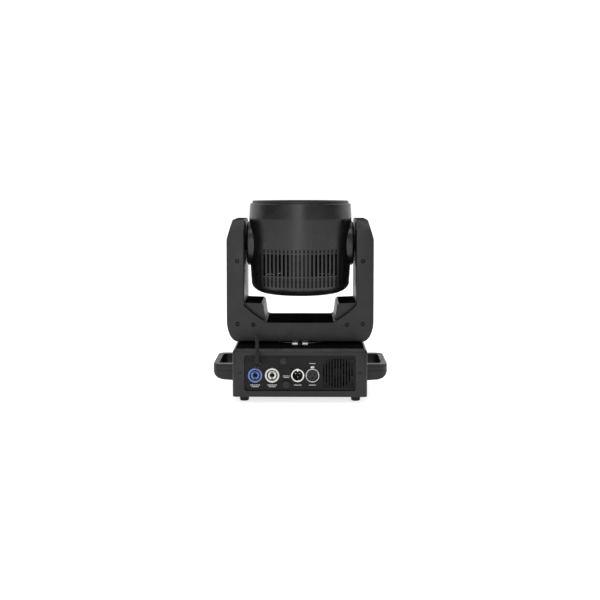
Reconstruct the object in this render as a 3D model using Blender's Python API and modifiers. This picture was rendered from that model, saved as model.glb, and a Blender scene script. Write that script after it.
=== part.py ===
"""Moving head wash light: a base on the floor, a yoke that pans on it and a round head that tilts in the yoke.

Lengths in this script are millimetres; every mesh is scaled to metres as it is made.
+Z is up and is the pan axis, +X runs along the tilt axis, and the connector panel faces -Y.
"""

import math

import bmesh
import bpy
from mathutils import Matrix, Vector

MM = 0.001
GAP = 0.3  # clearance between two pieces that touch or run in each other
LARGE, MEDIUM, SMALL = 36, 16, 10  # sides of round pieces

# Base: a sheet-metal box on four feet
BASE_HALF_X = 118.0
BASE_HALF_Y = 107.5
BASE_LOW = 11.0
BASE_TOP = 95.8
BASE_WALL = 3.0
BASE_CHAMFER = 5.0
DEPTH_HALF = 135.5  # the antenna reaches this far behind the pan axis, the display as far in front
FOOT_X, FOOT_Y, FOOT_R = 98.8, 82.0, 8.5

# Rear panel, set back behind a window in the rear wall
WINDOW_HALF_X, WINDOW_LOW, WINDOW_HIGH = 97.2, 21.8, 84.3
PANEL_FACE_Y = -(BASE_HALF_Y - BASE_WALL - GAP)
PANEL_THICK = 2.0
SOCKET_Z = 49.0
INLET_X, OUTLET_X, DATA_IN_X, DATA_OUT_X = -78.5, -48.7, -3.9, 22.0
FUSE_AT = (-23.9, 33.0)
PORT_AT = (-28.6, 74.3)
ANTENNA_AT = (-73.2, 69.5)  # the whip stands just outside the circle that the yoke sweeps
ANTENNA_STEM = DEPTH_HALF + PANEL_FACE_Y - 3.8  # from the panel face to the middle of the whip
ANTENNA_R = 3.8
ANTENNA_LONG = 57.0
FAN_AT = (66.5, 53.0)
FAN_HALF = 28.0
GRILLE_SLOTS, GRILLE_PITCH, GRILLE_SLOT = 11, 5.0, 2.6

# Handles
HANDLE_X = 158.0
HANDLE_HALF_Y = 57.0
HANDLE_TOP = 59.0
HANDLE_BAR = 10.5

# Display on the front face, leaning back so that it reads from above
DISPLAY_HALF_X = 66.0
DISPLAY_LOW, DISPLAY_HIGH = 20.0, 86.0
DISPLAY_FOOT = (DEPTH_HALF, 30.0)
DISPLAY_BROW = (112.5, 84.0)
BUTTON_X = (26.0, 46.0)
BUTTON_V = (10.0, -10.0)
BUTTON_R = 4.5

# Pan bearing
TUBE_R, TUBE_BORE = 14.0, 9.0
COLLAR_R = 56.0
LOCK_HALF_X = 3.5
PULLEY_LOW, PULLEY_HIGH = 123.0, 130.0
PAN_PULLEY_R, MOTOR_PULLEY_R, TILT_PULLEY_R = 30.0, 9.0, 24.0
PAN_MOTOR_X = -62.0
TILT_PULLEY_LOW, TILT_PULLEY_HIGH = 115.0, 122.0

# Yoke: two clamshell covers over a bent frame
YOKE_HALF_X, YOKE_HALF_Y = 132.0, 61.5
YOKE_LOW, YOKE_TOP = 100.5, 320.0
YOKE_WALL = 3.2
ARM_INNER_X = 100.6
BEAM_TOP = 135.3
TOP_SLOPE_LOW, TOP_SLOPE_IN = 302.0, 14.0  # the arm tops slope in over the last stretch
GUSSET_HALF_Y = 51.5
FRAME_X = 110.5
YOKE_SCREWS = ((112.7, 245.7), (112.7, 132.6), (84.0, 131.3))
TILT_MOTOR_Z = 121.3
LOCK_AT = (-116.0, 235.0)

# Head, in heights above or below the tilt axis
TILT_Z = 275.0
HEAD_TOP = 78.5
SHELL_TOP = 73.7
SHELL_LOW = -64.7
CAP_TOP = -65.0
CAP_LOW = -92.4
FAN_LOW = -84.0
SHELL_THICK = 3.0
BOSS_R, BOSS_FACE = 41.0, 98.3
HUB_R = 15.8
SHAFT_R, SHAFT_BORE, SHAFT_END = 10.0, 6.5, 124.0
VENT_PITCH, VENT_WIDE = 7.1, 3.6
VENT_LOW, VENT_HIGH = -55.0, -15.0
VENT_COUNT, VENT_CLOSED = 19, 5
INTAKE_R = 41.0  # the fan draws through this opening in the rear cap
LENS_PITCH, LENS_R = 32.0, 15.4
LENS_PLATE_LOW, LENS_PLATE_HIGH = 58.0, 61.0
ROD_CIRCLE, ROD_TOP = 76.5, 66.0
LED_TOP = -9.5

COLOURS = {
    "black_paint": ((0.035, 0.036, 0.038), 0.45, 0.0),
    "black_cover": ((0.035, 0.036, 0.038), 0.5, 0.0),
    "black_steel": ((0.03, 0.03, 0.032), 0.4, 0.3),
    "steel": ((0.6, 0.6, 0.6), 0.3, 1.0),
    "aluminium": ((0.75, 0.76, 0.78), 0.35, 1.0),
    "brass": ((0.8, 0.6, 0.25), 0.3, 1.0),
    "black_plastic": ((0.03, 0.03, 0.03), 0.5, 0.0),
    "blue_plastic": ((0.05, 0.16, 0.6), 0.4, 0.0),
    "white_plastic": ((0.75, 0.75, 0.74), 0.4, 0.0),
    "rubber": ((0.02, 0.02, 0.02), 0.8, 0.0),
    "glass": ((0.1, 0.12, 0.14), 0.05, 0.0),
    "lens": ((0.85, 0.88, 0.9), 0.05, 0.0),
    "board": ((0.03, 0.12, 0.05), 0.5, 0.0),
}


# ---------------------------------------------------------------- scene and shape helpers


def clear_scene():
    for old in list(bpy.data.objects):
        bpy.data.objects.remove(old, do_unlink=True)


def new_collection(name):
    made = bpy.data.collections.new(name)
    bpy.context.scene.collection.children.link(made)
    return made


def material(name, finish):
    """A Principled material of the part's own, in one of the named finishes."""
    colour, roughness, metallic = COLOURS[finish]
    made = bpy.data.materials.new(name + "_material")
    made.use_nodes = True
    shader = made.node_tree.nodes["Principled BSDF"]
    shader.inputs["Base Color"].default_value = (*colour, 1.0)
    shader.inputs["Roughness"].default_value = roughness
    shader.inputs["Metallic"].default_value = metallic
    return made


def empty(name, at=(0, 0, 0), turn=(0, 0, 0), parent=None):
    made = bpy.data.objects.new(name, None)
    PARTS.objects.link(made)
    made.location = Vector(at) * MM
    made.rotation_euler = turn
    made.parent = parent
    return made


def part(name, mesh, finish, parent=None, at=(0, 0, 0), turn=(0, 0, 0)):
    """One sub-part: its mesh under its own name and material, placed under its parent."""
    made = bpy.data.objects.new(name, mesh)
    mesh.name = name
    mesh.materials.clear()
    mesh.materials.append(material(name, finish))
    PARTS.objects.link(made)
    made.parent = parent
    made.location = Vector(at) * MM
    made.rotation_euler = turn
    return made


def boolean(target, mesh, operation, parent=None, at=(0, 0, 0), turn=(0, 0, 0)):
    """Cuts, joins or intersects the target with a hidden helper object; returns the helper."""
    helper = bpy.data.objects.new(target.name + "_" + operation.lower(), mesh)
    CUTTERS.objects.link(helper)
    helper.hide_render = True
    helper.display_type = "WIRE"
    helper.parent = parent
    helper.location = Vector(at) * MM
    helper.rotation_euler = turn
    step = target.modifiers.new(operation.title(), "BOOLEAN")
    step.operation = operation
    step.solver = "EXACT"
    step.object = helper
    return helper


def cut(target, mesh, **place):
    return boolean(target, mesh, "DIFFERENCE", **place)


def join(target, mesh, **place):
    return boolean(target, mesh, "UNION", **place)


def to_mesh(bm, name="shape"):
    bmesh.ops.recalc_face_normals(bm, faces=bm.faces)
    mesh = bpy.data.meshes.new(name)
    bm.to_mesh(mesh)
    bm.free()
    mesh.shade_smooth()
    mesh.set_sharp_from_angle(angle=math.radians(30))
    return mesh


def box(low, high, side_radius=0.0, top_chamfer=0.0, steps=2):
    """A box between two corners, with rounded upright edges and a chamfered top rim on request."""
    low, high = Vector(low), Vector(high)
    bm = bmesh.new()
    bmesh.ops.create_cube(bm, size=1.0)
    bmesh.ops.scale(bm, vec=(high - low) * MM, verts=bm.verts)
    bmesh.ops.translate(bm, vec=(low + high) / 2 * MM, verts=bm.verts)
    if side_radius:
        upright = [e for e in bm.edges if abs(e.verts[0].co.z - e.verts[1].co.z) > 1e-6]
        bmesh.ops.bevel(bm, geom=upright, offset=side_radius * MM, segments=steps,
                        affect="EDGES", profile=0.5)
    if top_chamfer:
        rim = [e for e in bm.edges if all(abs(v.co.z - high.z * MM) < 1e-6 for v in e.verts)]
        bmesh.ops.bevel(bm, geom=rim, offset=top_chamfer * MM, segments=1, affect="EDGES")
    return to_mesh(bm)


def rod(radius, low, high, axis="Z", centre=(0, 0), sides=24, end_radius=None):
    """A round bar or cone along an axis, from low to high; centre is in the other two axes."""
    bm = bmesh.new()
    bmesh.ops.create_cone(bm, cap_ends=True, segments=sides, radius1=radius * MM,
                          radius2=(radius if end_radius is None else end_radius) * MM,
                          depth=(high - low) * MM)
    bmesh.ops.translate(bm, vec=(0, 0, (low + high) / 2 * MM), verts=bm.verts)
    bmesh.ops.transform(bm, matrix=along(axis), verts=bm.verts)
    shift = {"X": (0, *centre), "Y": (centre[0], 0, centre[1]), "Z": (*centre, 0)}[axis]
    bmesh.ops.translate(bm, vec=Vector(shift) * MM, verts=bm.verts)
    return to_mesh(bm)


def along(axis):
    """The turn that takes local +Z to the named axis."""
    return {"X": Matrix.Rotation(math.pi / 2, 4, "Y"), "Z": Matrix.Identity(4),
            "Y": Matrix(((1, 0, 0, 0), (0, 0, 1, 0), (0, 1, 0, 0), (0, 0, 0, 1)))}[axis]


def evaluated(obj):
    """The object's mesh after its modifiers, welded; the object is removed."""
    bpy.context.view_layer.update()
    graph = bpy.context.evaluated_depsgraph_get()
    mesh = bpy.data.meshes.new_from_object(obj.evaluated_get(graph))
    bpy.data.objects.remove(obj, do_unlink=True)
    bm = bmesh.new()
    bm.from_mesh(mesh)
    bmesh.ops.remove_doubles(bm, verts=bm.verts, dist=1e-6)
    return to_mesh(bm)


def prism(outline, low, high, axis="Y"):
    """A flat outline extruded along an axis. It is drawn in XZ for axis Y, in XY for Z and in YZ for X."""
    curve = bpy.data.curves.new("outline", "CURVE")
    curve.dimensions = "2D"
    curve.fill_mode = "BOTH"
    curve.extrude = (high - low) / 2 * MM
    spline = curve.splines.new("POLY")
    spline.points.add(len(outline) - 1)
    for point, (u, v) in zip(spline.points, outline):
        point.co = (u * MM, v * MM, 0.0, 1.0)
    spline.use_cyclic_u = True
    holder = bpy.data.objects.new("outline", curve)
    CUTTERS.objects.link(holder)
    mesh = evaluated(holder)
    middle = Matrix.Translation((0, 0, (low + high) / 2 * MM))
    to_axis = {"X": Matrix(((0, 0, 1, 0), (1, 0, 0, 0), (0, 1, 0, 0), (0, 0, 0, 1))),
               "Y": along("Y"), "Z": Matrix.Identity(4)}[axis]
    mesh.transform(to_axis @ middle)
    return reoriented(mesh)


def turned(profile, sides=32, axis="Z", closed=False):
    """A profile of (radius, height) points turned about an axis by a Screw modifier."""
    bm = bmesh.new()
    points = [bm.verts.new((r * MM, 0, h * MM)) for r, h in profile]
    pairs = list(zip(points, points[1:])) + ([(points[-1], points[0])] if closed else [])
    for a, b in pairs:
        bm.edges.new((a, b))
    mesh = bpy.data.meshes.new("profile")
    bm.to_mesh(mesh)
    bm.free()
    holder = bpy.data.objects.new("profile", mesh)
    CUTTERS.objects.link(holder)
    screw = holder.modifiers.new("Screw", "SCREW")
    screw.steps = screw.render_steps = sides
    screw.use_merge_vertices = True
    screw.merge_threshold = 0.00001
    made = evaluated(holder)
    made.transform(along(axis))
    return reoriented(made)


def reoriented(mesh):
    bm = bmesh.new()
    bm.from_mesh(mesh)
    return to_mesh(bm)


def several(meshes):
    """One mesh that holds several separate bodies."""
    bm = bmesh.new()
    for mesh in meshes:
        bm.from_mesh(mesh)
    return to_mesh(bm)


def moved(mesh, shift=(0, 0, 0), turn=None, flip=(1, 1, 1)):
    """A copy of a mesh, flipped, turned and then shifted."""
    copy = mesh.copy()
    matrix = Matrix.Translation(Vector(shift) * MM)
    if turn:
        matrix = matrix @ Matrix.Rotation(turn[0], 4, turn[1])
    copy.transform(matrix @ Matrix.Diagonal((*flip, 1)))
    return reoriented(copy)


def arc(centre, radii, start, end, steps):
    """Points on an ellipse's arc, angles in degrees."""
    angles = [math.radians(start + (end - start) * i / steps) for i in range(steps + 1)]
    return [(centre[0] + radii[0] * math.cos(a), centre[1] + radii[1] * math.sin(a)) for a in angles]


def rounded_rectangle(low, high, radius, steps=3):
    (x0, z0), (x1, z1) = low, high
    corners = (((x1 - radius, z0 + radius), -90), ((x1 - radius, z1 - radius), 0),
               ((x0 + radius, z1 - radius), 90), ((x0 + radius, z0 + radius), 180))
    outline = []
    for centre, start in corners:
        outline += arc(centre, (radius, radius), start, start + 90, steps)
    return outline


def bezier(start, bend, end, steps):
    points = []
    for i in range(steps + 1):
        t = i / steps
        points.append(tuple((1 - t) ** 2 * a + 2 * t * (1 - t) * b + t ** 2 * c
                            for a, b, c in zip(start, bend, end)))
    return points


def mirrored_outline(right):
    """A closed outline from its right half, which runs from the middle round to the middle."""
    return right + [(-x, z) for x, z in reversed(right)]


def fan_rotor(radius, hub, thick, blades=7):
    """A hub with pitched blades, turning about local Z."""
    body = part("rotor_build", rod(hub, 0, thick, sides=SMALL), "black_plastic")
    blade = box((hub - 1.5, -1.0, 1.0), (radius, 1.0, thick - 1.0))
    pitch = Matrix.Rotation(math.radians(50), 4, "X")
    blade.transform(Matrix.Translation((0, 0, thick / 2 * MM)) @ pitch
                    @ Matrix.Translation((0, 0, -thick / 2 * MM)))
    ring = [moved(blade, turn=(2 * math.pi * i / blades, "Z")) for i in range(blades)]
    join(body, several(ring))
    return evaluated(body)


# ---------------------------------------------------------------- base


def base_housing():
    x, y, wall = BASE_HALF_X, BASE_HALF_Y, BASE_WALL
    housing = part("base_housing", box((-x, -y, BASE_LOW), (x, y, BASE_TOP), 6.0, BASE_CHAMFER),
                   "black_paint")
    inside = box((-x + wall, -y + wall, BASE_LOW - 5), (x - wall, y - wall, BASE_TOP - wall), 3.5, 3.0)
    cut(housing, inside)
    window = rounded_rectangle((-WINDOW_HALF_X, WINDOW_LOW), (WINDOW_HALF_X, WINDOW_HIGH), 5.0)
    cut(housing, prism(window, -y - 5, -y + wall + 5))
    cut(housing, rod(TUBE_R + 2, BASE_TOP - 10, BASE_TOP + 5, sides=MEDIUM))


def base_plate():
    margin = BASE_WALL + GAP
    x, y = BASE_HALF_X - margin, BASE_HALF_Y - margin
    plate = part("base_plate", box((-x, -y, BASE_LOW), (x, y, BASE_LOW + 2.5), 4.0), "black_steel")
    # Sockets for two quarter-turn clamp brackets
    holes = [rod(8.0, BASE_LOW - 5, BASE_LOW + 5, centre=(sx * 53, sy * 45), sides=SMALL)
             for sx in (-1, 1) for sy in (-1, 1)]
    cut(plate, several(holes))
    # The eye that a safety cable passes through
    eye = rounded_rectangle((-20, 3.0), (20, BASE_LOW + 1), 3.0)
    join(plate, prism(eye, -3, 3))
    cut(plate, box((-15, -5, 5.5), (15, 5, BASE_LOW - 0.5)))


def feet():
    foot = turned([(0, BASE_LOW - GAP), (FOOT_R, BASE_LOW - GAP), (FOOT_R - 0.8, 0), (0, 0)], 16)
    for end, sy in (("rear", -1), ("front", 1)):
        for side, sx in (("left", -1), ("right", 1)):
            part(f"foot_{end}_{side}", moved(foot), "rubber", at=(sx * FOOT_X, sy * FOOT_Y, 0))


def rear_panel():
    y = PANEL_FACE_Y
    outline = rounded_rectangle((-WINDOW_HALF_X - 4, WINDOW_LOW - 4),
                                (WINDOW_HALF_X + 4, WINDOW_HIGH + 4), 6.0)
    panel = part("rear_panel", prism(outline, y, y + PANEL_THICK), "black_steel")
    holes = [(INLET_X, SOCKET_Z, 11.9), (OUTLET_X, SOCKET_Z, 11.9), (DATA_IN_X, SOCKET_Z, 11.3),
             (DATA_OUT_X, SOCKET_Z, 11.9), (*FUSE_AT, 6.4), (*PORT_AT, 5.3), (*ANTENNA_AT, 3.5)]
    through = (y - 5, y + PANEL_THICK + 5)
    cutters = [rod(r, *through, axis="Y", centre=(x, z), sides=MEDIUM) for x, z, r in holes]
    latch = latch_box(GAP)
    cutters.append(box((latch[0][0], through[0], latch[0][1]), (latch[1][0], through[1], latch[1][1])))
    cut(panel, several(cutters))
    cut(panel, several(grille_slots(through)))


def grille_slots(through):
    """Upright slots in a square with one well-rounded upper corner."""
    radius, slots = 14.0, []
    left = FAN_AT[0] - (GRILLE_SLOTS - 1) / 2 * GRILLE_PITCH
    for i in range(GRILLE_SLOTS):
        x = left + i * GRILLE_PITCH
        short = max(0.0, radius - (x - left) - 1.0)
        top = WINDOW_HIGH - 5.3 - (radius - math.sqrt(radius ** 2 - short ** 2))
        slots.append(box((x - GRILLE_SLOT / 2, through[0], WINDOW_LOW + 5.2),
                         (x + GRILLE_SLOT / 2, through[1], top)))
    return slots


def latch_box(margin):
    """The X and Z limits of the data outlet's release tab."""
    return ((DATA_OUT_X - 3.6 - margin, SOCKET_Z + 13.0 - margin),
            (DATA_OUT_X + 3.6 + margin, SOCKET_Z + 16.2 + margin))


def on_panel(name, mesh, finish, x, z, parent=None):
    """Places a piece that is modelled along local Z so that it stands out of the panel's face."""
    return part(name, mesh, finish, parent, (x, PANEL_FACE_Y, z), (math.pi / 2, 0, 0))


def power_socket(name, finish, x):
    """A locking mains connector: a round rim, a ring-shaped gap and a core with its contact slot."""
    profile = [(0, 2.0), (7.4, 2.0), (7.4, -9), (9.6, -9), (9.6, 3.0), (12.3, 3.0), (12.7, 2.6),
               (12.7, GAP),
               (11.6, GAP), (11.6, -20), (0, -20)]
    socket = on_panel(name, turned(profile, MEDIUM), finish, x, SOCKET_Z)
    slot = several([box((-1.1, -4.2, -7), (1.1, 2.0, 5)), box((-3.6, 3.2, -7), (3.6, 4.6, 5))])
    cut(socket, slot, at=(x, PANEL_FACE_Y, SOCKET_Z), turn=(math.pi / 2, 0, 0))


def pin_places():
    return [(4.2 * math.cos(a), 4.2 * math.sin(a)) for a in map(math.radians, (30, 150, 270))]


def data_inlet():
    profile = [(0, -13), (9.0, -13), (9.0, 3.0), (11.4, 3.0), (11.75, 2.6), (11.75, GAP), (11.0, GAP),
               (11.0, -20),
               (0, -20)]
    inlet = on_panel("data_inlet", turned(profile, MEDIUM), "steel", DATA_IN_X, SOCKET_Z)
    pins = [rod(1.25, -14, -3, centre=at, sides=8) for at in pin_places()]
    join(inlet, several(pins), at=(DATA_IN_X, PANEL_FACE_Y, SOCKET_Z), turn=(math.pi / 2, 0, 0))


def data_outlet():
    profile = [(0, 0.6), (9.2, 0.6), (9.2, -5), (10.4, -5), (10.4, 3.0), (11.9, 3.0), (12.2, 2.6),
               (12.2, GAP),
               (11.5, GAP), (11.5, -20), (0, -20)]
    outlet = on_panel("data_outlet", turned(profile, MEDIUM), "steel", DATA_OUT_X, SOCKET_Z)
    holes = [rod(1.5, -11, 3, centre=at, sides=8) for at in pin_places()]
    cut(outlet, several(holes), at=(DATA_OUT_X, PANEL_FACE_Y, SOCKET_Z), turn=(math.pi / 2, 0, 0))
    (x0, z0), (x1, z1) = latch_box(0.0)
    part("data_latch", box((x0, PANEL_FACE_Y - 2.4, z0), (x1, PANEL_FACE_Y + 4, z1)), "steel")


def fuse():
    holder = [(5.3, -14), (5.3, 1.8), (7.5, 1.8), (7.5, GAP), (6.0, GAP), (6.0, -16), (0, -16), (0, -14)]
    on_panel("fuse_holder", turned([(0, -14)] + holder[:-1], 16), "black_plastic", *FUSE_AT)
    cap = [(0, 4.4), (6.0, 4.4), (6.4, 4.0), (6.4, 2.1), (5.0, 2.1), (5.0, -12), (0, -12)]
    turning = on_panel("fuse_cap", turned(cap, 16), "black_plastic", *FUSE_AT)
    cut(turning, box((-5, -0.7, 3.2), (5, 0.7, 6)), at=(FUSE_AT[0], PANEL_FACE_Y, FUSE_AT[1]),
        turn=(math.pi / 2, 0, 0))


def service_cap():
    profile = [(0, 2.4), (6.5, 2.4), (6.5, GAP), (5.0, GAP), (5.0, -6), (0, -6)]
    cap = on_panel("service_cap", turned(profile, 16), "black_plastic", *PORT_AT)
    join(cap, rod(4.6, 1.0, 4.6, sides=6), at=(PORT_AT[0], PANEL_FACE_Y, PORT_AT[1]),
         turn=(math.pi / 2, 0, 0))


def antenna():
    """A socket nut, an elbow that swivels about it and a whip that folds in the elbow's fork."""
    socket = [(0, 3.9), (3.0, 3.9), (3.0, 3.2), (4.8, 3.2), (4.8, GAP), (3.2, GAP), (3.2, -6), (0, -6)]
    on_panel("antenna_socket", turned(socket, SMALL), "brass", *ANTENNA_AT)
    place = dict(at=(ANTENNA_AT[0], PANEL_FACE_Y, ANTENNA_AT[1]), turn=(math.pi / 2, 0, 0))
    r, pivot = ANTENNA_R, ANTENNA_STEM
    elbow = on_panel("antenna_elbow", rod(r, 4.2, 9.4, sides=SMALL), "black_plastic", *ANTENNA_AT)
    join(elbow, box((-r, -r, 8.4), (r, r, pivot)), **place)
    join(elbow, rod(r, -r, r, axis="X", centre=(0, pivot), sides=MEDIUM), **place)
    cut(elbow, box((-1.5, -9, pivot - 3.7), (1.5, 9, pivot + 9)), **place)
    hinge = empty("antenna_hinge", (ANTENNA_AT[0], PANEL_FACE_Y - pivot, ANTENNA_AT[1]))
    taper = [(0, ANTENNA_LONG), (2.2, ANTENNA_LONG), (3.1, ANTENNA_LONG - 1.2), (3.2, 26), (r, 18),
             (r, 4.4), (0, 4.4)]
    whip = part("antenna_whip", turned(taper, 16), "rubber", hinge)
    join(whip, box((-1.2, -2.4, 0), (1.2, 2.4, 6)), parent=hinge)
    join(whip, rod(3.4, -1.2, 1.2, axis="X", sides=SMALL), parent=hinge)


def fan_frame(name, half, deep, hub, place):
    """A square frame with a round duct; a bar across its back carries the motor's hub."""
    frame = part(name, box((-half, -half, 0), (half, half, deep), 3.0, steps=1), "black_plastic", **place)
    cut(frame, rod(half - 2.2, -5, deep + 5, sides=24), **place)
    join(frame, box((-half + 0.8, -3, deep - 3.2), (half - 0.8, 3, deep - 0.6)), **place)
    join(frame, rod(hub, deep - 3.6, deep - 0.2, sides=SMALL), **place)


def base_fan():
    behind = PANEL_FACE_Y + PANEL_THICK + GAP
    turn = (-math.pi / 2, 0, 0)
    fan_frame("base_fan_frame", FAN_HALF, 14.0, 11.0, dict(at=(FAN_AT[0], behind, FAN_AT[1]), turn=turn))
    part("base_fan_rotor", fan_rotor(FAN_HALF - 3.2, 9.0, 8.5), "black_plastic",
         at=(FAN_AT[0], behind + 1.3, FAN_AT[1]), turn=turn)


def power_supply():
    supply = part("power_supply", box((-105, -70, 14.2), (-15, 90, 54), 1.5), "aluminium")
    cut(supply, box((-103, -68, 16.2), (-17, 95, 52)))


# ---------------------------------------------------------------- handles


def handle(name, side):
    """A bow that bolts to the base's side, open upwards and downwards for the fingers."""
    x0, x1, y, top = BASE_HALF_X + GAP, HANDLE_X, HANDLE_HALF_Y, HANDLE_TOP
    front = [(x0, 29.5), (140, 31), (149, 33.8), (155, 38.5), (x1, 44.5), (x1, top - 2), (x1 - 2, top),
             (x0, top)]
    corner = 15.0
    plan = [(x0 - 2, -y)] + arc((x1 - corner, -y + corner), (corner, corner), -90, 0, 4)
    plan += arc((x1 - corner, y - corner), (corner, corner), 0, 90, 4) + [(x0 - 2, y)]
    hole_x, hole_y, soft = x1 - HANDLE_BAR, y - 12, 9.0
    hole = [(x0 - 4, -hole_y)] + arc((hole_x - soft, -hole_y + soft), (soft, soft), -90, 0, 3)
    hole += arc((hole_x - soft, hole_y - soft), (soft, soft), 0, 90, 3) + [(x0 - 4, hole_y)]
    flip = (side, 1, 1)
    bow = part(name, moved(prism(front, -y - 5, y + 5), flip=flip), "black_plastic")
    boolean(bow, moved(prism(plan, 10, 80, "Z"), flip=flip), "INTERSECT")
    cut(bow, moved(prism(hole, 10, 80, "Z"), flip=flip))


# ---------------------------------------------------------------- display


def display():
    """A wedge-shaped pod with a glass window and four keys on its leaning face."""
    (foot_y, foot_z), (brow_y, brow_z) = DISPLAY_FOOT, DISPLAY_BROW
    back = BASE_HALF_Y + GAP
    side = [(back, DISPLAY_LOW), (foot_y - 3, DISPLAY_LOW), (foot_y, DISPLAY_LOW + 3), (foot_y, foot_z),
            (brow_y, brow_z), (brow_y - 2, DISPLAY_HIGH), (back, DISPLAY_HIGH)]
    pod = part("display_pod", prism(side, -DISPLAY_HALF_X, DISPLAY_HALF_X, "X"), "black_plastic")
    lean = math.atan2(foot_y - brow_y, brow_z - foot_z)
    face = empty("display_face", (0, (foot_y + brow_y) / 2, (foot_z + brow_z) / 2), (lean, 0, 0))
    cut(pod, box((-60, -1.5, -20), (10, 5, 20)), parent=face)
    keys = [(x, v) for v in BUTTON_V for x in BUTTON_X]
    cut(pod, several([rod(BUTTON_R + GAP, -6.0, 5, axis="Y", centre=key, sides=16) for key in keys]),
        parent=face)
    part("display_glass", box((-60 + GAP, -1.2, -20 + GAP), (10 - GAP, -0.1, 20 - GAP)), "glass", face)
    cap = turned([(0, 1.6), (BUTTON_R - 0.8, 1.6), (BUTTON_R, 1.0), (BUTTON_R, -4), (0, -4)], 16, "Y")
    for name, (x, v) in zip(("key_menu", "key_up", "key_enter", "key_down"), keys):
        part(name, moved(cap), "black_plastic", face, (x, 0, v))


# ---------------------------------------------------------------- pan axis


def pan_tube():
    """The hollow post fixed in the base: bolting flange below, fixed belt pulley on top."""
    flange, under = PAN_PULLEY_R, BASE_TOP - BASE_WALL - GAP
    profile = [(TUBE_R, PULLEY_HIGH + 1), (TUBE_R, PULLEY_HIGH), (PAN_PULLEY_R, PULLEY_HIGH),
               (PAN_PULLEY_R, PULLEY_LOW), (TUBE_R, PULLEY_LOW), (TUBE_R, under), (flange, under),
               (flange, under - 4), (TUBE_R, under - 4), (TUBE_R, 66), (TUBE_BORE, 66),
                (TUBE_BORE, PULLEY_HIGH + 1)]
    part("pan_tube", turned(profile, MEDIUM, closed=True), "aluminium")


def pan_collar():
    """The conical ring in the gap under the yoke, with the two guide blocks of the pan lock."""
    low, high = BASE_TOP + GAP, YOKE_LOW - 0.9
    profile = [(COLLAR_R - 5, high), (COLLAR_R, high - 2), (COLLAR_R, low), (TUBE_R + 3, low),
               (TUBE_R + 3, high)]
    collar = part("pan_collar", turned(profile, LARGE, closed=True), "aluminium")
    join(collar, box((-14.4, -COLLAR_R - 16, low), (14.4, -COLLAR_R + 6, YOKE_LOW - 0.6), 1.5))
    cut(collar, box((-LOCK_HALF_X - 0.4, -COLLAR_R - 25, low + 0.9),
                    (LOCK_HALF_X + 0.4, -COLLAR_R + 8, high + 3)))


def pan_lock():
    """A latch that slides towards the pan axis between the guide blocks."""
    low, high = BASE_TOP + GAP + 0.9 + GAP, YOKE_LOW - 0.6 - GAP
    part("pan_lock", box((-LOCK_HALF_X, -COLLAR_R - 20, low), (LOCK_HALF_X, -COLLAR_R, high), 1.0),
         "black_plastic")


# ---------------------------------------------------------------- yoke


def yoke_outline(inset=0.0):
    """The U seen from the rear, or its cavity a wall's thickness inside it."""
    t = inset
    corner = arc((112.5, 139), (YOKE_HALF_X - 112.5 - t, 139 - YOKE_LOW - t), -90, 0, 6)
    outer = [(YOKE_HALF_X - t, 285), (121.5 - t, YOKE_TOP - t)]
    inner = [(ARM_INNER_X + t, YOKE_TOP - t)] + inner_corner(t)
    return mirrored_outline(corner + outer + inner)


def inner_corner(t):
    """The curved diagonal between arm and beam, moved into the wall by t."""
    lean = t * 0.7
    return bezier((ARM_INNER_X + t, 167 - t * 0.4), (84 + lean, 149 - lean), (58, BEAM_TOP - t), 5)


def top_slope(side, inset=0.0):
    """The wedge that slopes off the rear or front of the arm tops."""
    rise, run = YOKE_TOP - TOP_SLOPE_LOW, TOP_SLOPE_IN
    length = math.hypot(rise, run)
    y0 = YOKE_HALF_Y - inset * rise / length
    z0 = TOP_SLOPE_LOW - inset * run / length
    over = 0.6
    wedge = [(side * (y0 + run * over), z0 - rise * over),
             (side * (y0 - run * (1 + over)), z0 + rise * (1 + over)),
             (side * (y0 + run * over), z0 + rise * (1 + over))]
    return prism(wedge, -150, 150, "X")


def yoke_cover(name, side):
    """One clamshell half. Side is -1 for the rear and 1 for the front."""
    near, far = side * GAP / 2, side * YOKE_HALF_Y
    cover = part(name, prism(yoke_outline(), min(near, far), max(near, far)), "black_cover")
    rounding = cover.modifiers.new("Bevel", "BEVEL")
    rounding.limit_method = "ANGLE"
    rounding.width = 1.5 * MM
    rounding.segments = 1
    rounding.angle_limit = math.radians(50)
    cut(cover, top_slope(side))
    end = side * (YOKE_HALF_Y - YOKE_WALL)
    open_end = -side * 5
    cavity = cut(cover, prism(yoke_outline(YOKE_WALL), min(end, open_end), max(end, open_end)))
    slope = cavity.modifiers.new("Slope", "BOOLEAN")
    slope.operation = "DIFFERENCE"
    slope.object = helper_object("cavity_slope", top_slope(side, YOKE_WALL))
    openings = [rod(SHAFT_R + 0.6, -ARM_INNER_X - 8, -ARM_INNER_X + 8, axis="X", centre=(0, TILT_Z),
                    sides=MEDIUM),
                rod(SHAFT_R + 0.6, ARM_INNER_X - 8, ARM_INNER_X + 8, axis="X", centre=(0, TILT_Z),
                    sides=MEDIUM),
                rod(TUBE_R + 3, YOKE_LOW - 8, YOKE_LOW + 8, sides=MEDIUM)]
    pockets = [rod(4.0, min(far - side * 2, far + side * 8), max(far - side * 2, far + side * 8), axis="Y",
                   centre=(sx * x, z), sides=SMALL) for sx in (-1, 1) for x, z in YOKE_SCREWS]
    cut(cover, several(openings + pockets))
    corner = gusset_outline(GAP)
    deep = GUSSET_HALF_Y + GAP
    block = prism(corner, min(-side * 5, side * deep), max(-side * 5, side * deep))
    cut(cover, several([block, moved(block, flip=(-1, 1, 1))]))
    if side > 0:
        x, z = LOCK_AT
        cut(cover, box((x - 4.3, YOKE_HALF_Y - 8, z - 5), (x + 4.3, YOKE_HALF_Y + 8, z + 11)))


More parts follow.
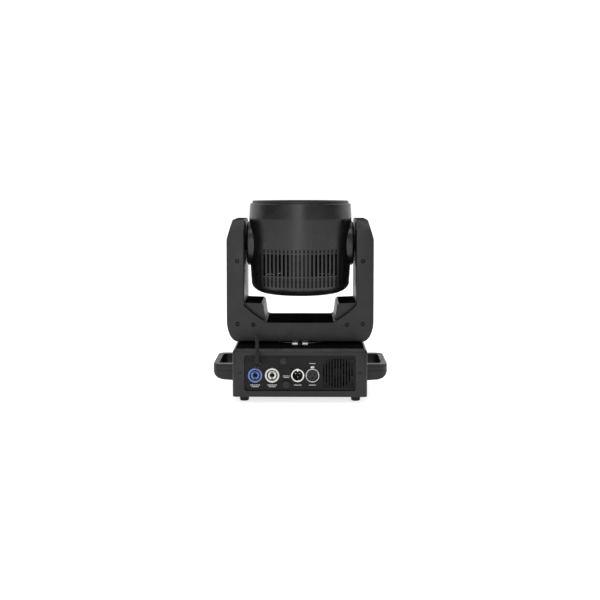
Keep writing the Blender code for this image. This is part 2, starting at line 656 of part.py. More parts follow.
def helper_object(name, mesh):
    made = bpy.data.objects.new(name, mesh)
    CUTTERS.objects.link(made)
    made.hide_render = True
    made.display_type = "WIRE"
    return made


def gusset_outline(margin=0.0):
    """The cast block that stiffens the corner between the beam and the right arm."""
    m = margin
    return [(62.2 - m, 132.6 - m), (62.6 - m, 138.6), (66.3 - m, 165 + m), (70 - m, 168.5 + m),
            (111.5, 170 + m),
            (111.5, 132.6 - m)]


def yoke_frame():
    """The casting inside the covers: a floor, two uprights and the corner blocks that show between arm and beam."""
    low = YOKE_LOW + YOKE_WALL + 2 * GAP
    frame = part("yoke_frame", box((-FRAME_X - 3, -50, low), (FRAME_X + 3, 50, low + 2.7)), "black_paint")
    hollow = [(67.5, 125), (70.5, 163.5), (73, 165.2), (FRAME_X, 166.5), (FRAME_X, 125)]
    for sx in (-1, 1):
        flip = (sx, 1, 1)
        upright = box((FRAME_X, -40, low + 1), (FRAME_X + 3, 40, 297))
        join(frame, moved(upright, flip=flip))
        join(frame, moved(prism(gusset_outline(), -GUSSET_HALF_Y, GUSSET_HALF_Y), flip=flip))
        cut(frame, moved(prism(hollow, -GUSSET_HALF_Y + 3, GUSSET_HALF_Y - 3), flip=flip))
    holes = [rod(TUBE_R + 1, low - 5, low + 8, sides=MEDIUM),
             rod(SHAFT_R + 2, -FRAME_X - 8, -FRAME_X + 5, axis="X", centre=(0, TILT_Z), sides=MEDIUM),
             rod(SHAFT_R + 2, FRAME_X - 5, FRAME_X + 8, axis="X", centre=(0, TILT_Z), sides=MEDIUM),
             rod(5.0, FRAME_X - 5, FRAME_X + 8, axis="X", centre=(0, TILT_MOTOR_Z), sides=SMALL)]
    cut(frame, several(holes))


def bearings():
    low = YOKE_LOW + YOKE_WALL + 3.3 + 2 * GAP
    ring = [(24, low + 7.5), (24, low), (TUBE_R + GAP, low), (TUBE_R + GAP, low + 7.5)]
    part("pan_bearing", turned(ring, MEDIUM, closed=True), "steel")
    x0, x1 = ARM_INNER_X + YOKE_WALL + GAP, FRAME_X - GAP
    race = [(18, x1), (18, x0), (SHAFT_R + GAP, x0), (SHAFT_R + GAP, x1)]
    right = moved(turned(race, MEDIUM, "X", closed=True), (0, 0, TILT_Z))
    part("tilt_bearing_right", right, "steel")
    part("tilt_bearing_left", moved(right, flip=(-1, 1, 1)), "steel")


def motors():
    """Two stepper motors, each with its own pulley and shaft."""
    low = YOKE_LOW + YOKE_WALL + 3.3 + 2 * GAP
    part("pan_motor", box((PAN_MOTOR_X - 21, -21, low), (PAN_MOTOR_X + 21, 21, PULLEY_LOW - 1.5), 4.0),
         "black_steel")
    axis = empty("pan_motor_axis", (PAN_MOTOR_X, 0, 0))
    r = MOTOR_PULLEY_R
    pulley = [(0, PULLEY_HIGH), (r, PULLEY_HIGH), (r, PULLEY_LOW), (2.5, PULLEY_LOW),
              (2.5, PULLEY_LOW - 1.2),
              (0, PULLEY_LOW - 1.2)]
    part("pan_motor_pulley", turned(pulley, MEDIUM), "aluminium", axis)
    side = box((72, -14, -14), (FRAME_X - GAP, 14, 14))
    part("tilt_motor", side, "black_steel", at=(0, 0, TILT_MOTOR_Z))
    x0, x1 = TILT_PULLEY_LOW, TILT_PULLEY_HIGH
    small = [(0, x1), (r, x1), (r, x0), (2.5, x0), (2.5, FRAME_X), (0, FRAME_X)]
    part("tilt_motor_pulley", turned(small, MEDIUM, "X"), "aluminium", at=(0, 0, TILT_MOTOR_Z))


def belt_outline(big, small, distance, steps=20):
    """The tangent loop round two pulleys; the big one is at the origin, the small one along +U."""
    lean = math.degrees(math.acos((big - small) / distance))
    return (arc((0, 0), (big, big), lean, 360 - lean, steps)
            + arc((distance, 0), (small, small), -lean, lean, steps // 2))


def belt_loop(big, low, high, reach):
    """A belt drawn flat round a big pulley at the origin and the motor's pulley along +X."""
    thick, slack = 1.3, 0.35
    small = MOTOR_PULLEY_R + slack
    outline = belt_outline(big + slack + thick, small + thick, reach)
    loop = part("loop_build", prism(outline, low, high, "Z"), "rubber")
    cut(loop, prism(belt_outline(big + slack, small, reach), low - 5, high + 5, "Z"))
    return evaluated(loop)


def drive_belts():
    """The pan belt round the fixed pulley, and the tilt belt up the right arm."""
    pan = belt_loop(PAN_PULLEY_R, PULLEY_LOW + 1.1, PULLEY_HIGH - 1.1, abs(PAN_MOTOR_X))
    tilt = belt_loop(TILT_PULLEY_R, TILT_PULLEY_LOW + 1.1, TILT_PULLEY_HIGH - 1.1, TILT_Z - TILT_MOTOR_Z)
    # Local +X turns down to -Z, and local +Z turns out to +X
    tilt = moved(tilt, (0, 0, TILT_Z), (math.pi / 2, "Y"))
    part("pan_belt", moved(pan, flip=(-1, 1, 1)), "rubber")
    part("tilt_belt", tilt, "rubber")


def tilt_lock():
    """A slider in the front cover of the left arm, with a flange behind the wall."""
    x, z = LOCK_AT
    back = YOKE_HALF_Y - YOKE_WALL - GAP
    knob = part("tilt_lock", box((x - 4, back - 1, z - 4.6), (x + 4, YOKE_HALF_Y + 1.2, z + 4)), "steel")
    join(knob, box((x - 7, back - 2.5, z - 9), (x + 7, back, z + 9)))


# ---------------------------------------------------------------- head


def shell_profile():
    """The barrel's outer side, top to bottom, as (radius, height)."""
    return [(91.5, SHELL_TOP), (93.1, SHELL_TOP - 1.6), (94.7, 46), (92.7, -39), (90.9, SHELL_LOW)]


def vent_cutters():
    """Upright slots that pass through both the rear and the front of the barrel."""
    each_side = (VENT_COUNT - 1) // 2
    open_slots = [i for i in range(-each_side, each_side + 1) if abs(i) > VENT_CLOSED // 2]
    half = VENT_WIDE / 2
    return [box((i * VENT_PITCH - half, -120, VENT_LOW),
                (i * VENT_PITCH + half, 120, VENT_HIGH)) for i in open_slots]


def head_shell():
    outer = shell_profile()
    inner = [(r - SHELL_THICK, h) for r, h in reversed(outer[2:])]
    inner[0] = (outer[-1][0] - SHELL_THICK, SHELL_LOW)
    lip = [(outer[1][0] - SHELL_THICK, SHELL_TOP - 3.2), (87.6, SHELL_TOP - 3.2), (87.6, SHELL_TOP)]
    shell = part("head_shell", turned(outer + inner + lip, LARGE, closed=True), "black_cover", TILT)
    bosses = [rod(BOSS_R + 2 * GAP, -120, -60, axis="X", sides=32),
              rod(BOSS_R + 2 * GAP, 60, 120, axis="X", sides=32)]
    cut(shell, several(bosses), parent=TILT)
    cut(shell, several(vent_cutters()), parent=TILT)


def rear_cap():
    """The domed bowl that closes the barrel, open in the middle for the fan's air."""
    r, thick, centre = 90.5, SHELL_THICK, (56.0, -72.0)
    wide, deep, lip = r - centre[0], centre[1] - CAP_LOW, CAP_LOW + 3.3
    outer = [(r + 0.3, CAP_TOP), (r, CAP_TOP - 3)] + arc(centre, (wide, deep), 0, -90, 7)
    outer += [(INTAKE_R + 4, lip - 2), (INTAKE_R, lip)]
    inner = [(INTAKE_R, lip + thick)] + arc(centre, (wide - thick, deep - thick), -90, 0, 6)
    part("rear_cap", turned(outer + inner + [(r + 0.3 - thick, CAP_TOP)], LARGE, closed=True),
         "black_cover", TILT)


def front_bezel():
    top = HEAD_TOP
    profile = [(84.5, top), (87.5, top), (89, top - 1.3), (89, SHELL_TOP + GAP), (87.3, SHELL_TOP + GAP),
               (87.3, top - 8.5), (82.5, top - 8.5), (82.5, top - 2)]
    part("front_bezel", turned(profile, LARGE, closed=True), "black_cover", TILT)


def tilt_bosses():
    """Round covers on the head's sides, each with the small hub that faces the yoke's arm."""
    hub_face = ARM_INNER_X - GAP
    profile = [(HUB_R, hub_face), (HUB_R, BOSS_FACE), (BOSS_R - 4, BOSS_FACE), (BOSS_R, BOSS_FACE - 3),
               (BOSS_R, 84),
               (BOSS_R - 4, 84), (BOSS_R - 4, 94.5), (SHAFT_R + 0.4, 94.5), (SHAFT_R + 0.4, hub_face)]
    right = turned(profile, 28, "X", closed=True)
    part("tilt_boss_right", right, "black_cover", TILT)
    part("tilt_boss_left", moved(right, flip=(-1, 1, 1)), "black_cover", TILT)


def tilt_shafts():
    """Hollow shafts bolted inside the bosses; the right one ends in the tilt belt's pulley."""
    inside = [(SHAFT_R, 94.2), (30, 94.2), (30, 91), (SHAFT_BORE, 91), (SHAFT_BORE, SHAFT_END)]
    pulley = [(SHAFT_R, TILT_PULLEY_HIGH), (TILT_PULLEY_R, TILT_PULLEY_HIGH),
              (TILT_PULLEY_R, TILT_PULLEY_LOW),
              (SHAFT_R, TILT_PULLEY_LOW)]
    end = [(SHAFT_R, SHAFT_END)]
    part("tilt_shaft_right", turned(end + pulley + inside, MEDIUM, "X", closed=True), "steel", TILT)
    left = moved(turned(end + inside, MEDIUM, "X", closed=True), flip=(-1, 1, 1))
    part("tilt_shaft_left", left, "steel", TILT)


def heat_sink():
    base_low, base_high, radius = -17.0, -12.0, 80.0
    sink = part("heat_sink", rod(radius, base_low, base_high, sides=32), "aluminium", TILT)
    fins = []
    for i in range(-6, 7):
        x = i * 11.0
        half_long = math.sqrt((radius - 1) ** 2 - (abs(x) + 1.2) ** 2)
        fins.append(box((x - 1.2, -half_long, -58), (x + 1.2, half_long, base_low + 1)))
    join(sink, several(fins), parent=TILT)
    # A cross web parts the air between the rear and the front vents
    join(sink, box((-72, -1.5, -57), (72, 1.5, base_low + 0.5)), parent=TILT)


def led_board():
    part("led_board", rod(78, -12 + GAP, LED_TOP, sides=LARGE), "board", TILT)


def head_fan():
    low, half = FAN_LOW, 42.0
    fan_frame("head_fan_frame", half, 18.0, 16.0, dict(parent=TILT, at=(0, 0, low)))
    part("head_fan_rotor", fan_rotor(half - 4, 14.0, 11.0), "black_plastic", TILT, (0, 0, low + 1.5))


def lens_places():
    """A centre lens with two hexagonal rings round it."""
    places = []
    for row in range(-2, 3):
        count = 5 - abs(row)
        for i in range(count):
            places.append(((i - (count - 1) / 2) * LENS_PITCH, row * LENS_PITCH * math.sqrt(3) / 2))
    return places


def rod_place(angle):
    return (ROD_CIRCLE * math.cos(math.radians(angle)), ROD_CIRCLE * math.sin(math.radians(angle)))


def zoom():
    """The lens plate rides on three rods that stand on a ring, driven by one lead screw."""
    foot = LED_TOP + GAP
    ring = [(79.5, foot + 1.5), (79.5, foot), (74.0, foot), (74.0, foot + 1.5)]
    guides = [rod_place(a) for a in (90, 210, 330)]
    carrier = part("zoom_frame", turned(ring, LARGE, closed=True), "steel", TILT)
    join(carrier, several([rod(2.5, foot + 0.5, ROD_TOP, centre=at, sides=8) for at in guides]),
         parent=TILT)
    screw_at = rod_place(30)
    part("zoom_screw", rod(3.0, foot + 1.5 + GAP, ROD_TOP, sides=SMALL), "steel", TILT, (*screw_at, 0))
    low, high = LENS_PLATE_LOW, LENS_PLATE_HIGH
    plate = part("zoom_plate", rod(81.5, low, high, sides=LARGE), "black_plastic", TILT)
    holes = [rod(3.0, low - 5, high + 5, centre=at, sides=8) for at in guides]
    holes.append(rod(3.6, low - 5, high + 5, centre=screw_at, sides=8))
    cut(plate, several(holes), parent=TILT)
    # The moulded lens sheet: nineteen domes on one thin web, cut back round the rods
    low = high + GAP
    sheet = part("lens_array", rod(72.0, low, low + 1.5, sides=LARGE), "lens", TILT)
    dome = turned([(0, low + 9.2), (LENS_R, low + 6.2), (LENS_R, low), (0, low)], SMALL)
    join(sheet, several([moved(dome, (*at, 0)) for at in lens_places()]), parent=TILT)


# ---------------------------------------------------------------- the whole light

clear_scene()
PARTS = new_collection("moving_head_light")
CUTTERS = new_collection("cutters")
TILT = empty("tilt_axis", (0, 0, TILT_Z))

base_housing()
base_plate()
feet()
rear_panel()
power_socket("power_inlet", "blue_plastic", INLET_X)
power_socket("power_outlet", "white_plastic", OUTLET_X)
data_inlet()
data_outlet()
fuse()
service_cap()
antenna()
base_fan()
power_supply()
handle("handle_right", 1)
handle("handle_left", -1)
display()
pan_tube()
pan_collar()
pan_lock()
yoke_cover("yoke_rear_cover", -1)
yoke_cover("yoke_front_cover", 1)
yoke_frame()
bearings()
motors()
drive_belts()
tilt_lock()
head_shell()
rear_cap()
front_bezel()
tilt_bosses()
tilt_shafts()
heat_sink()
led_board()
head_fan()
zoom()
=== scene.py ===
import math

import bmesh
import bpy
from mathutils import Matrix, Vector


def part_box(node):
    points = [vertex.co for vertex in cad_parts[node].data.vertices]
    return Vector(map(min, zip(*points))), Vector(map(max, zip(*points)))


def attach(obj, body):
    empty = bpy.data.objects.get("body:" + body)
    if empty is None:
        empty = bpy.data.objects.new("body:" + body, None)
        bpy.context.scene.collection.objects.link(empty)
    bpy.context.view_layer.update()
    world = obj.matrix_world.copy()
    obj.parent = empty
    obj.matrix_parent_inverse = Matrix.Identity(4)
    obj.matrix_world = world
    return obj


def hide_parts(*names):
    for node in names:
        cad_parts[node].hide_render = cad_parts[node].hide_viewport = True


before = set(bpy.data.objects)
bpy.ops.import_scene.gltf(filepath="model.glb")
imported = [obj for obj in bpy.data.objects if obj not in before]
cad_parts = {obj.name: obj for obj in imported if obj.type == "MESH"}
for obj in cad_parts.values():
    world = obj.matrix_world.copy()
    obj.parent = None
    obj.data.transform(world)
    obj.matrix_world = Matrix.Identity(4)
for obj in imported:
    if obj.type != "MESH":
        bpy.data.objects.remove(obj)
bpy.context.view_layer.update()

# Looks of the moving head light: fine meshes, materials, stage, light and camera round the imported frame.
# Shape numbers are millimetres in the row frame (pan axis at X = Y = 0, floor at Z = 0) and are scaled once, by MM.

MM = 0.001
ROUND = 128  # sides of the big turned pieces
SHARP = math.radians(32.0)  # an edge that bends more than this is shaded as an edge


def ends(node):
    """A CAD node's lowest and highest corners in millimetres."""
    low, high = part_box(node)
    return low / MM, high / MM


def middle(node):
    low, high = ends(node)
    return (low + high) / 2


def named(side):
    """The row's word for a side of the light: +1 is right and -1 is left."""
    return "right" if side > 0 else "left"


# ---- materials


class Graph:
    """Small helper that adds and links shader nodes."""

    def __init__(self, name):
        self.material = bpy.data.materials.new(name)
        self.material.use_nodes = True
        self.nodes = self.material.node_tree.nodes
        self.links = self.material.node_tree.links
        self.shader = self.nodes["Principled BSDF"]
        coordinates = self.nodes.new("ShaderNodeTexCoord")
        self.place, self.facing = coordinates.outputs["Object"], coordinates.outputs["Normal"]

    def add(self, kind, **values):
        node = self.nodes.new(kind)
        for key, value in values.items():
            if hasattr(node, key):
                setattr(node, key, value)
            else:
                node.inputs[key.replace("_", " ")].default_value = value
        return node

    def join(self, source, node, name):
        self.links.new(source, node.inputs[name])

    def stretched(self, scale):
        mapping = self.add("ShaderNodeMapping")
        mapping.inputs["Scale"].default_value = scale
        self.join(self.place, mapping, "Vector")
        return mapping.outputs["Vector"]

    def noise(self, scale, detail=3.0, stretch=None):
        node = self.add("ShaderNodeTexNoise", Scale=scale, Detail=detail)
        self.join(self.stretched(stretch) if stretch else self.place, node, "Vector")
        return node.outputs["Fac"]

    def ranged(self, source, low, high, start=0.3, end=0.7):
        node = self.add("ShaderNodeMapRange")
        for name, value in (("From Min", start), ("From Max", end), ("To Min", low), ("To Max", high)):
            node.inputs[name].default_value = value
        self.join(source, node, "Value")
        return node.outputs["Result"]

    def blended(self, factor, first, second):
        node = self.add("ShaderNodeMix", data_type="RGBA")
        node.inputs[6].default_value = (*first, 1)
        node.inputs[7].default_value = (*second, 1)
        self.links.new(factor, node.inputs[0])
        return node.outputs[2]


def shaded(colour, amount):
    return tuple(min(1.0, c * amount) for c in colour)


def coated(name, colour, roughness, metallic=0.0, grain=2600.0, bump=0.05, spread=0.25, stretch=None,
           specular=0.5, matt_top=False):
    """A surface with fine grain in its bump, patchy roughness and a slight change of tone.
    With matt_top, faces that look straight up shine less: painted shade that keeps the tops dark."""
    g = Graph(name)
    g.shader.inputs["Metallic"].default_value = metallic
    g.shader.inputs["Specular IOR Level"].default_value = specular
    # Painted shade: the specular shine fades out on faces that look up, so tops render dark.
    if matt_top:
        split = g.add("ShaderNodeSeparateXYZ")
        g.join(g.facing, split, "Vector")
        g.join(g.ranged(split.outputs["Z"], specular, 0.0, 0.72, 0.93), g.shader, "Specular IOR Level")
    tone = g.ranged(g.noise(14.0, 4.0), 0.0, 1.0)
    g.join(g.blended(tone, shaded(colour, 1 - spread), shaded(colour, 1 + spread)), g.shader, "Base Color")
    g.join(g.ranged(g.noise(55.0, 5.0, stretch), roughness - 0.07, roughness + 0.07), g.shader, "Roughness")
    relief = g.add("ShaderNodeBump", Strength=bump, Distance=0.0004)
    g.join(g.noise(grain, 2.0, stretch), relief, "Height")
    g.join(relief.outputs["Normal"], g.shader, "Normal")
    return g.material


def see_through(name, tint, roughness):
    g = Graph(name)
    g.shader.inputs["Transmission Weight"].default_value = 1.0
    g.shader.inputs["IOR"].default_value = 1.49
    g.join(g.blended(g.ranged(g.noise(8.0), 0, 1), shaded(tint, 0.96), tint), g.shader, "Base Color")
    g.join(g.ranged(g.noise(90.0, 4.0), roughness, roughness + 0.05), g.shader, "Roughness")
    return g.material


def circuit_board(name):
    """Solder mask with copper traces showing through as a lighter pattern."""
    g = Graph(name)
    traces = g.add("ShaderNodeTexBrick", Scale=220.0, Mortar_Size=0.06, Bias=0.0)
    g.join(g.place, traces, "Vector")
    traces.inputs["Color1"].default_value = (0.62, 0.62, 0.6, 1)
    traces.inputs["Color2"].default_value = (0.55, 0.56, 0.54, 1)
    traces.inputs["Mortar"].default_value = (0.35, 0.36, 0.35, 1)
    g.join(traces.outputs["Color"], g.shader, "Base Color")
    g.join(g.ranged(g.noise(200.0), 0.35, 0.5), g.shader, "Roughness")
    return g.material


def screen(name):
    """A dark display behind glass, with a faint dot grid."""
    g = Graph(name)
    g.shader.inputs["Coat Weight"].default_value = 1.0
    g.shader.inputs["Coat Roughness"].default_value = 0.03
    dots = g.add("ShaderNodeTexVoronoi", Scale=900.0)
    g.join(g.place, dots, "Vector")
    mask = g.ranged(dots.outputs["Distance"], 1.0, 0.0, 0.2, 0.5)
    g.join(g.blended(mask, (0.004, 0.006, 0.010), (0.008, 0.018, 0.035)), g.shader, "Base Color")
    g.join(g.ranged(g.noise(30.0), 0.12, 0.2), g.shader, "Roughness")
    return g.material


MATERIALS = {
    "paint": coated("satin_paint", (0.0085, 0.0087, 0.0090), 0.42, bump=0.12, specular=0.40, matt_top=True),
    "cover": coated("moulded_cover", (0.0085, 0.0087, 0.0089), 0.42, bump=0.10, specular=0.40, matt_top=True),
    "barrel": coated("barrel_cover", (0.0065, 0.0066, 0.0068), 0.33, bump=0.05, specular=0.55),
    "panel": coated("panel_coating", (0.006, 0.006, 0.0061), 0.50, bump=0.12, specular=0.22),
    "plastic": coated("grained_plastic", (0.008, 0.008, 0.0083), 0.42, bump=0.15, grain=1800.0, specular=0.4),
    # Dark plastic of the inner parts; carve also lays it on the faces of grooves and slots as painted shade.
    "dark": coated("dark_plastic_and_groove_shade", (0.006, 0.006, 0.006), 0.65, bump=0.2, specular=0.25),
    "rubber": coated("rubber", (0.012, 0.012, 0.012), 0.78, bump=0.35, grain=1500.0, specular=0.3),
    # Painted shade: the next two colours go in the ring-shaped gaps of the power sockets. They are the sockets' own
    # plastic made darker.
    "gap_shade_blue": coated("blue_plastic", (0.002, 0.016, 0.19), 0.32, bump=0.04, spread=0.1),
    "shade": coated("shaded_plastic", (0.035, 0.033, 0.03), 0.5, bump=0.05),
    "light_blue": coated("light_blue_plastic", (0.12, 0.19, 0.46), 0.34, bump=0.04, spread=0.08),
    "white": coated("white_plastic", (0.74, 0.73, 0.70), 0.34, bump=0.04, spread=0.05),
    "print": coated("white_print", (0.80, 0.80, 0.80), 0.55, bump=0.05, spread=0.05),
    "nickel": coated("nickel_plating", (0.72, 0.71, 0.69), 0.28, 1.0, bump=0.05, spread=0.08),
    "steel": coated("brushed_steel", (0.52, 0.52, 0.53), 0.34, 1.0, bump=0.10, spread=0.1,
                    stretch=(1.0, 1.0, 12.0)),
    "polished": coated("polished_steel", (0.95, 0.95, 0.95), 0.24, 0.3, bump=0.02, spread=0.03),
    "aluminium": coated("extruded_aluminium", (0.70, 0.71, 0.73), 0.38, 1.0, bump=0.12, spread=0.08,
                        stretch=(1.0, 14.0, 1.0)),
    "brass": coated("gold_plating", (0.22, 0.15, 0.06), 0.32, 1.0, bump=0.04, spread=0.08),
    "screw": coated("blackened_steel", (0.035, 0.035, 0.037), 0.40, 1.0, bump=0.08, spread=0.2),
    "sink": coated("black_anodising", (0.006, 0.006, 0.0065), 0.6, bump=0.05, spread=0.15, specular=0.15),
    "board": circuit_board("led_board_mask"),
    "lens": see_through("clear_lens", (0.97, 0.985, 1.0), 0.02),
    "screen": screen("display_screen"),
    "phosphor": coated("led_dies", (0.9, 0.72, 0.28), 0.5, bump=0.1, spread=0.1),
}


# ---- mesh helpers


def linked(name, data):
    """A new object in the scene."""
    obj = bpy.data.objects.new(name, data)
    bpy.context.scene.collection.objects.link(obj)
    return obj


def to_mesh(bm, name="shape"):
    bmesh.ops.remove_doubles(bm, verts=bm.verts, dist=1e-5)
    bmesh.ops.recalc_face_normals(bm, faces=bm.faces)
    bmesh.ops.scale(bm, vec=(MM, MM, MM), verts=bm.verts)
    mesh = bpy.data.meshes.new(name)
    bm.to_mesh(mesh)
    bm.free()
    mesh.shade_smooth()
    mesh.set_sharp_from_angle(angle=SHARP)
    return mesh


def lifted(obj):
    """The object's mesh as a shape in millimetres; the object goes away."""
    bm = bmesh.new()
    bm.from_mesh(obj.data)
    bmesh.ops.scale(bm, vec=(1 / MM,) * 3, verts=bm.verts)
    bpy.data.objects.remove(obj)
    return bm


def rounded(points, radius=0.5, steps=4, closed=True):
    """The outline with its corners rounded; a point's own third number overrides the radius."""
    out, count = [], len(points)
    for i, point in enumerate(points):
        r = point[2] if len(point) > 2 else radius
        here = Vector(point[:2])
        back = Vector(points[i - 1][:2]) - here
        ahead = Vector(points[(i + 1) % count][:2]) - here
        if r <= 0 or (not closed and i in (0, count - 1)) or back.angle(ahead) > math.radians(176):
            out.append(tuple(here))
            continue
        reach = min(r / math.tan(back.angle(ahead) / 2), back.length * 0.49, ahead.length * 0.49)
        a, b = here + back.normalized() * reach, here + ahead.normalized() * reach
        for k in range(steps + 1):
            t = k / steps
            out.append(tuple(a * (1 - t) ** 2 + here * 2 * t * (1 - t) + b * t ** 2))
    return out


def basis(axis):
    """Local X, Y and Z directions for a piece that points along the named axis."""
    return {"Z": Matrix.Identity(3), "X": Matrix(((0, 0, 1), (1, 0, 0), (0, 1, 0))),
            "-X": Matrix(((0, 0, -1), (-1, 0, 0), (0, 1, 0))), "-Z": Matrix(((1, 0, 0), (0, -1, 0), (0, 0, -1))),
            "-Y": Matrix(((1, 0, 0), (0, 0, -1), (0, 1, 0))), "Y": Matrix(((-1, 0, 0), (0, 0, 1), (0, 1, 0)))}[axis]


def placed(bm, axis="Z", at=(0, 0, 0), turn=0.0):
    """Turns a shape drawn along local Z so that it points along axis, and moves it to its place."""
    spin = Matrix.Rotation(math.radians(turn), 4, "Z")
    bm.transform(Matrix.Translation(Vector(at)) @ basis(axis).to_4x4() @ spin)
    return bm


def lathe(profile, sides=ROUND, axis="Z", at=(0, 0, 0), closed=True):
    """A profile of (radius, height) points turned about its axis."""
    bm = bmesh.new()
    verts = [bm.verts.new((r, 0, h)) for r, h in (p[:2] for p in profile)]
    pairs = list(zip(verts, verts[1:])) + ([(verts[-1], verts[0])] if closed else [])
    edges = [bm.edges.new(pair) for pair in pairs]
    bmesh.ops.spin(bm, geom=verts + edges, cent=(0, 0, 0), axis=(0, 0, 1), dvec=(0, 0, 0),
                   angle=math.tau, steps=sides, use_merge=True)
    return placed(bm, axis, at)


def turned(profile, radius, steps, sides, axis="Z", at=(0, 0, 0)):
    """A solid from an open profile that starts and ends on the axis, with its corners rounded."""
    return lathe(rounded(profile, radius, steps, closed=False), sides, axis, at, closed=False)


def rod(radius, start, stop, sides, axis="Z", at=(0, 0, 0)):
    return lathe([(0, start), (radius, start), (radius, stop), (0, stop)], sides, axis, at, closed=False)


def prism(outline, low, high, axis="Z", at=(0, 0, 0), turn=0.0):
    """A flat outline in local XY, extruded from low to high along the axis."""
    bm = bmesh.new()
    face = bm.faces.new([bm.verts.new((x, y, low)) for x, y in outline])
    made = bmesh.ops.extrude_face_region(bm, geom=[face])["geom"]
    top = [v for v in made if isinstance(v, bmesh.types.BMVert)]
    bmesh.ops.translate(bm, vec=(0, 0, high - low), verts=top)
    return placed(bm, axis, at, turn)


def rectangle(half_x, half_y, radius=0.0, steps=5, centre=(0, 0)):
    cx, cy = centre
    corners = [(cx - half_x, cy - half_y), (cx + half_x, cy - half_y), (cx + half_x, cy + half_y),
               (cx - half_x, cy + half_y)]
    return rounded(corners, radius, steps) if radius else corners


def block(low, high):
    bm = bmesh.new()
    bmesh.ops.create_cube(bm, size=1.0)
    low, high = Vector(low), Vector(high)
    bm.transform(Matrix.Translation((low + high) / 2) @ Matrix.Diagonal((*(high - low), 1)))
    return bm


def skinned(bm, rings):
    """Faces between each ring of points and the next, and a cap on each end."""
    count = len(rings[0])
    for lower, upper in zip(rings, rings[1:]):
        for i in range(count):
            bm.faces.new((lower[i], lower[(i + 1) % count], upper[(i + 1) % count], upper[i]))
    bm.faces.new(rings[0][::-1])
    bm.faces.new(rings[-1])


def swept(half_x, half_y, radius, profile, axis="Z", at=(0, 0, 0), steps=6):
    """A rounded-rectangle body: profile lists (inset, height) from its bottom to its top."""
    bm = bmesh.new()
    rings = []
    for inset, height in profile:
        ring = rectangle(half_x - inset, half_y - inset, max(radius - inset, 0.4), steps)
        rings.append([bm.verts.new((x, y, height)) for x, y in ring])
    skinned(bm, rings)
    return placed(bm, axis, at)


def together(*shapes):
    """One bmesh that holds several shapes."""
    whole = bmesh.new()
    for shape in shapes:
        mesh = bpy.data.meshes.new("joined")
        shape.to_mesh(mesh)
        shape.free()
        whole.from_mesh(mesh)
        bpy.data.meshes.remove(mesh)
    return whole


def mirrored(bm):
    """The shape's mirror image across X = 0."""
    copy = bm.copy()
    copy.transform(Matrix.Diagonal((-1, 1, 1, 1)))
    bmesh.ops.reverse_faces(copy, faces=copy.faces)
    return copy


def carve(obj, cutter, how="DIFFERENCE", look=None):
    """Applies one Boolean to the object's own mesh at once; the cut faces may take a material of their own, which
    paints shade into grooves and slots.
    """
    tool = linked("tool", to_mesh(cutter))
    step = obj.modifiers.new("Carve", "BOOLEAN")
    step.operation = how
    step.object = tool
    step.solver = "EXACT"
    if look:
        tool.data.materials.append(MATERIALS[look])
        step.material_mode = "TRANSFER"
    graph = bpy.context.evaluated_depsgraph_get()
    mesh = bpy.data.meshes.new_from_object(obj.evaluated_get(graph))
    obj.modifiers.clear()
    obj.data = mesh
    bpy.data.objects.remove(tool)
    mesh.set_sharp_from_angle(angle=SHARP)


def piece(name, shape, look):
    """A named object from a bmesh, with its material."""
    obj = linked(name, to_mesh(shape, name))
    obj.data.materials.append(MATERIALS[look])
    return obj


def soften(obj, edge, angle, segments=3):
    """Rounds the edges that bend more than the angle."""
    bevel = obj.modifiers.new("Bevel", "BEVEL")
    bevel.width = edge * MM
    bevel.segments = segments
    bevel.limit_method = "ANGLE"
    bevel.angle_limit = math.radians(angle)
    bevel.use_clamp_overlap = True
    bevel.harden_normals = True


def settle(obj, body, slot, *nodes):
    """The finished piece rides on its body and stands for its CAD nodes; its slot is not used."""
    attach(obj, body)
    if nodes:
        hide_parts(*nodes)


def dress(node, look, edge):
    """A CAD node whose shape is right keeps it and gets a better material and softer edges."""
    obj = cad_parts[node]
    obj.data.materials.clear()
    obj.data.materials.append(MATERIALS[look])
    soften(obj, edge, 35.0, 2)


SCREWS = {}  # the mesh of each size made so far
SCREW_STUB = -0.7  # how far a screw head goes on under the face it sits on


def screw(name, at, axis, radius, body, proud, turn):
    """A domed screw head with a cross recess; at is the middle of the face it sits on."""
    if (radius, proud) not in SCREWS:
        dome = [(0, proud), (radius * 0.6, proud * 0.94), (radius, proud * 0.35, 0.3), (radius, SCREW_STUB),
                (0, SCREW_STUB)]
        head = piece("screw_shape", turned(dome, 0.4, 3, 28), "screw")
        arm, wide, floor = radius * 0.62, radius * 0.17, proud - radius * 0.45
        quarter = [(arm, -wide), (arm, wide), (wide, wide)]
        cross = [(x * c - y * d, x * d + y * c) for c, d in ((1, 0), (0, 1), (-1, 0), (0, -1)) for x, y in quarter]
        carve(head, prism(cross, floor, proud + 2))
        SCREWS[radius, proud] = head.data
        bpy.data.objects.remove(head)
    mesh = SCREWS[radius, proud].copy()
    spin = Matrix.Rotation(math.radians(turn), 4, "Z")
    mesh.transform(Matrix.Translation(Vector(at) * MM) @ basis(axis).to_4x4() @ spin)
    settle(linked(name, mesh), body, "steel")


def offset(outline, inset):
    """A counter-clockwise outline moved inwards by the inset."""
    count, out = len(outline), []
    for i, point in enumerate(outline):
        before = (Vector(point) - Vector(outline[i - 1])).normalized()
        after = (Vector(outline[(i + 1) % count]) - Vector(point)).normalized()
        normal = Vector((-before.y - after.y, before.x + after.x)).normalized()
        lean = max(0.35, normal.dot(Vector((-before.y, before.x))))
        out.append(tuple(Vector(point) + normal * inset / lean))
    return out


def loft(outline, profile, axis="Z", at=(0, 0, 0)):
    """A flat outline carried through (inset, height) rings, from the bottom to the top."""
    bm = bmesh.new()
    skinned(bm, [[bm.verts.new((x, y, h)) for x, y in offset(outline, inset)] for inset, h in profile])
    return placed(bm, axis, at)


def arc(centre, radii, start, stop, steps):
    """Points on an ellipse, from one angle to another in degrees."""
    out = []
    for k in range(steps + 1):
        a = math.radians(start + (stop - start) * k / steps)
        out.append((centre[0] + radii[0] * math.cos(a), centre[1] + radii[1] * math.sin(a)))
    return out


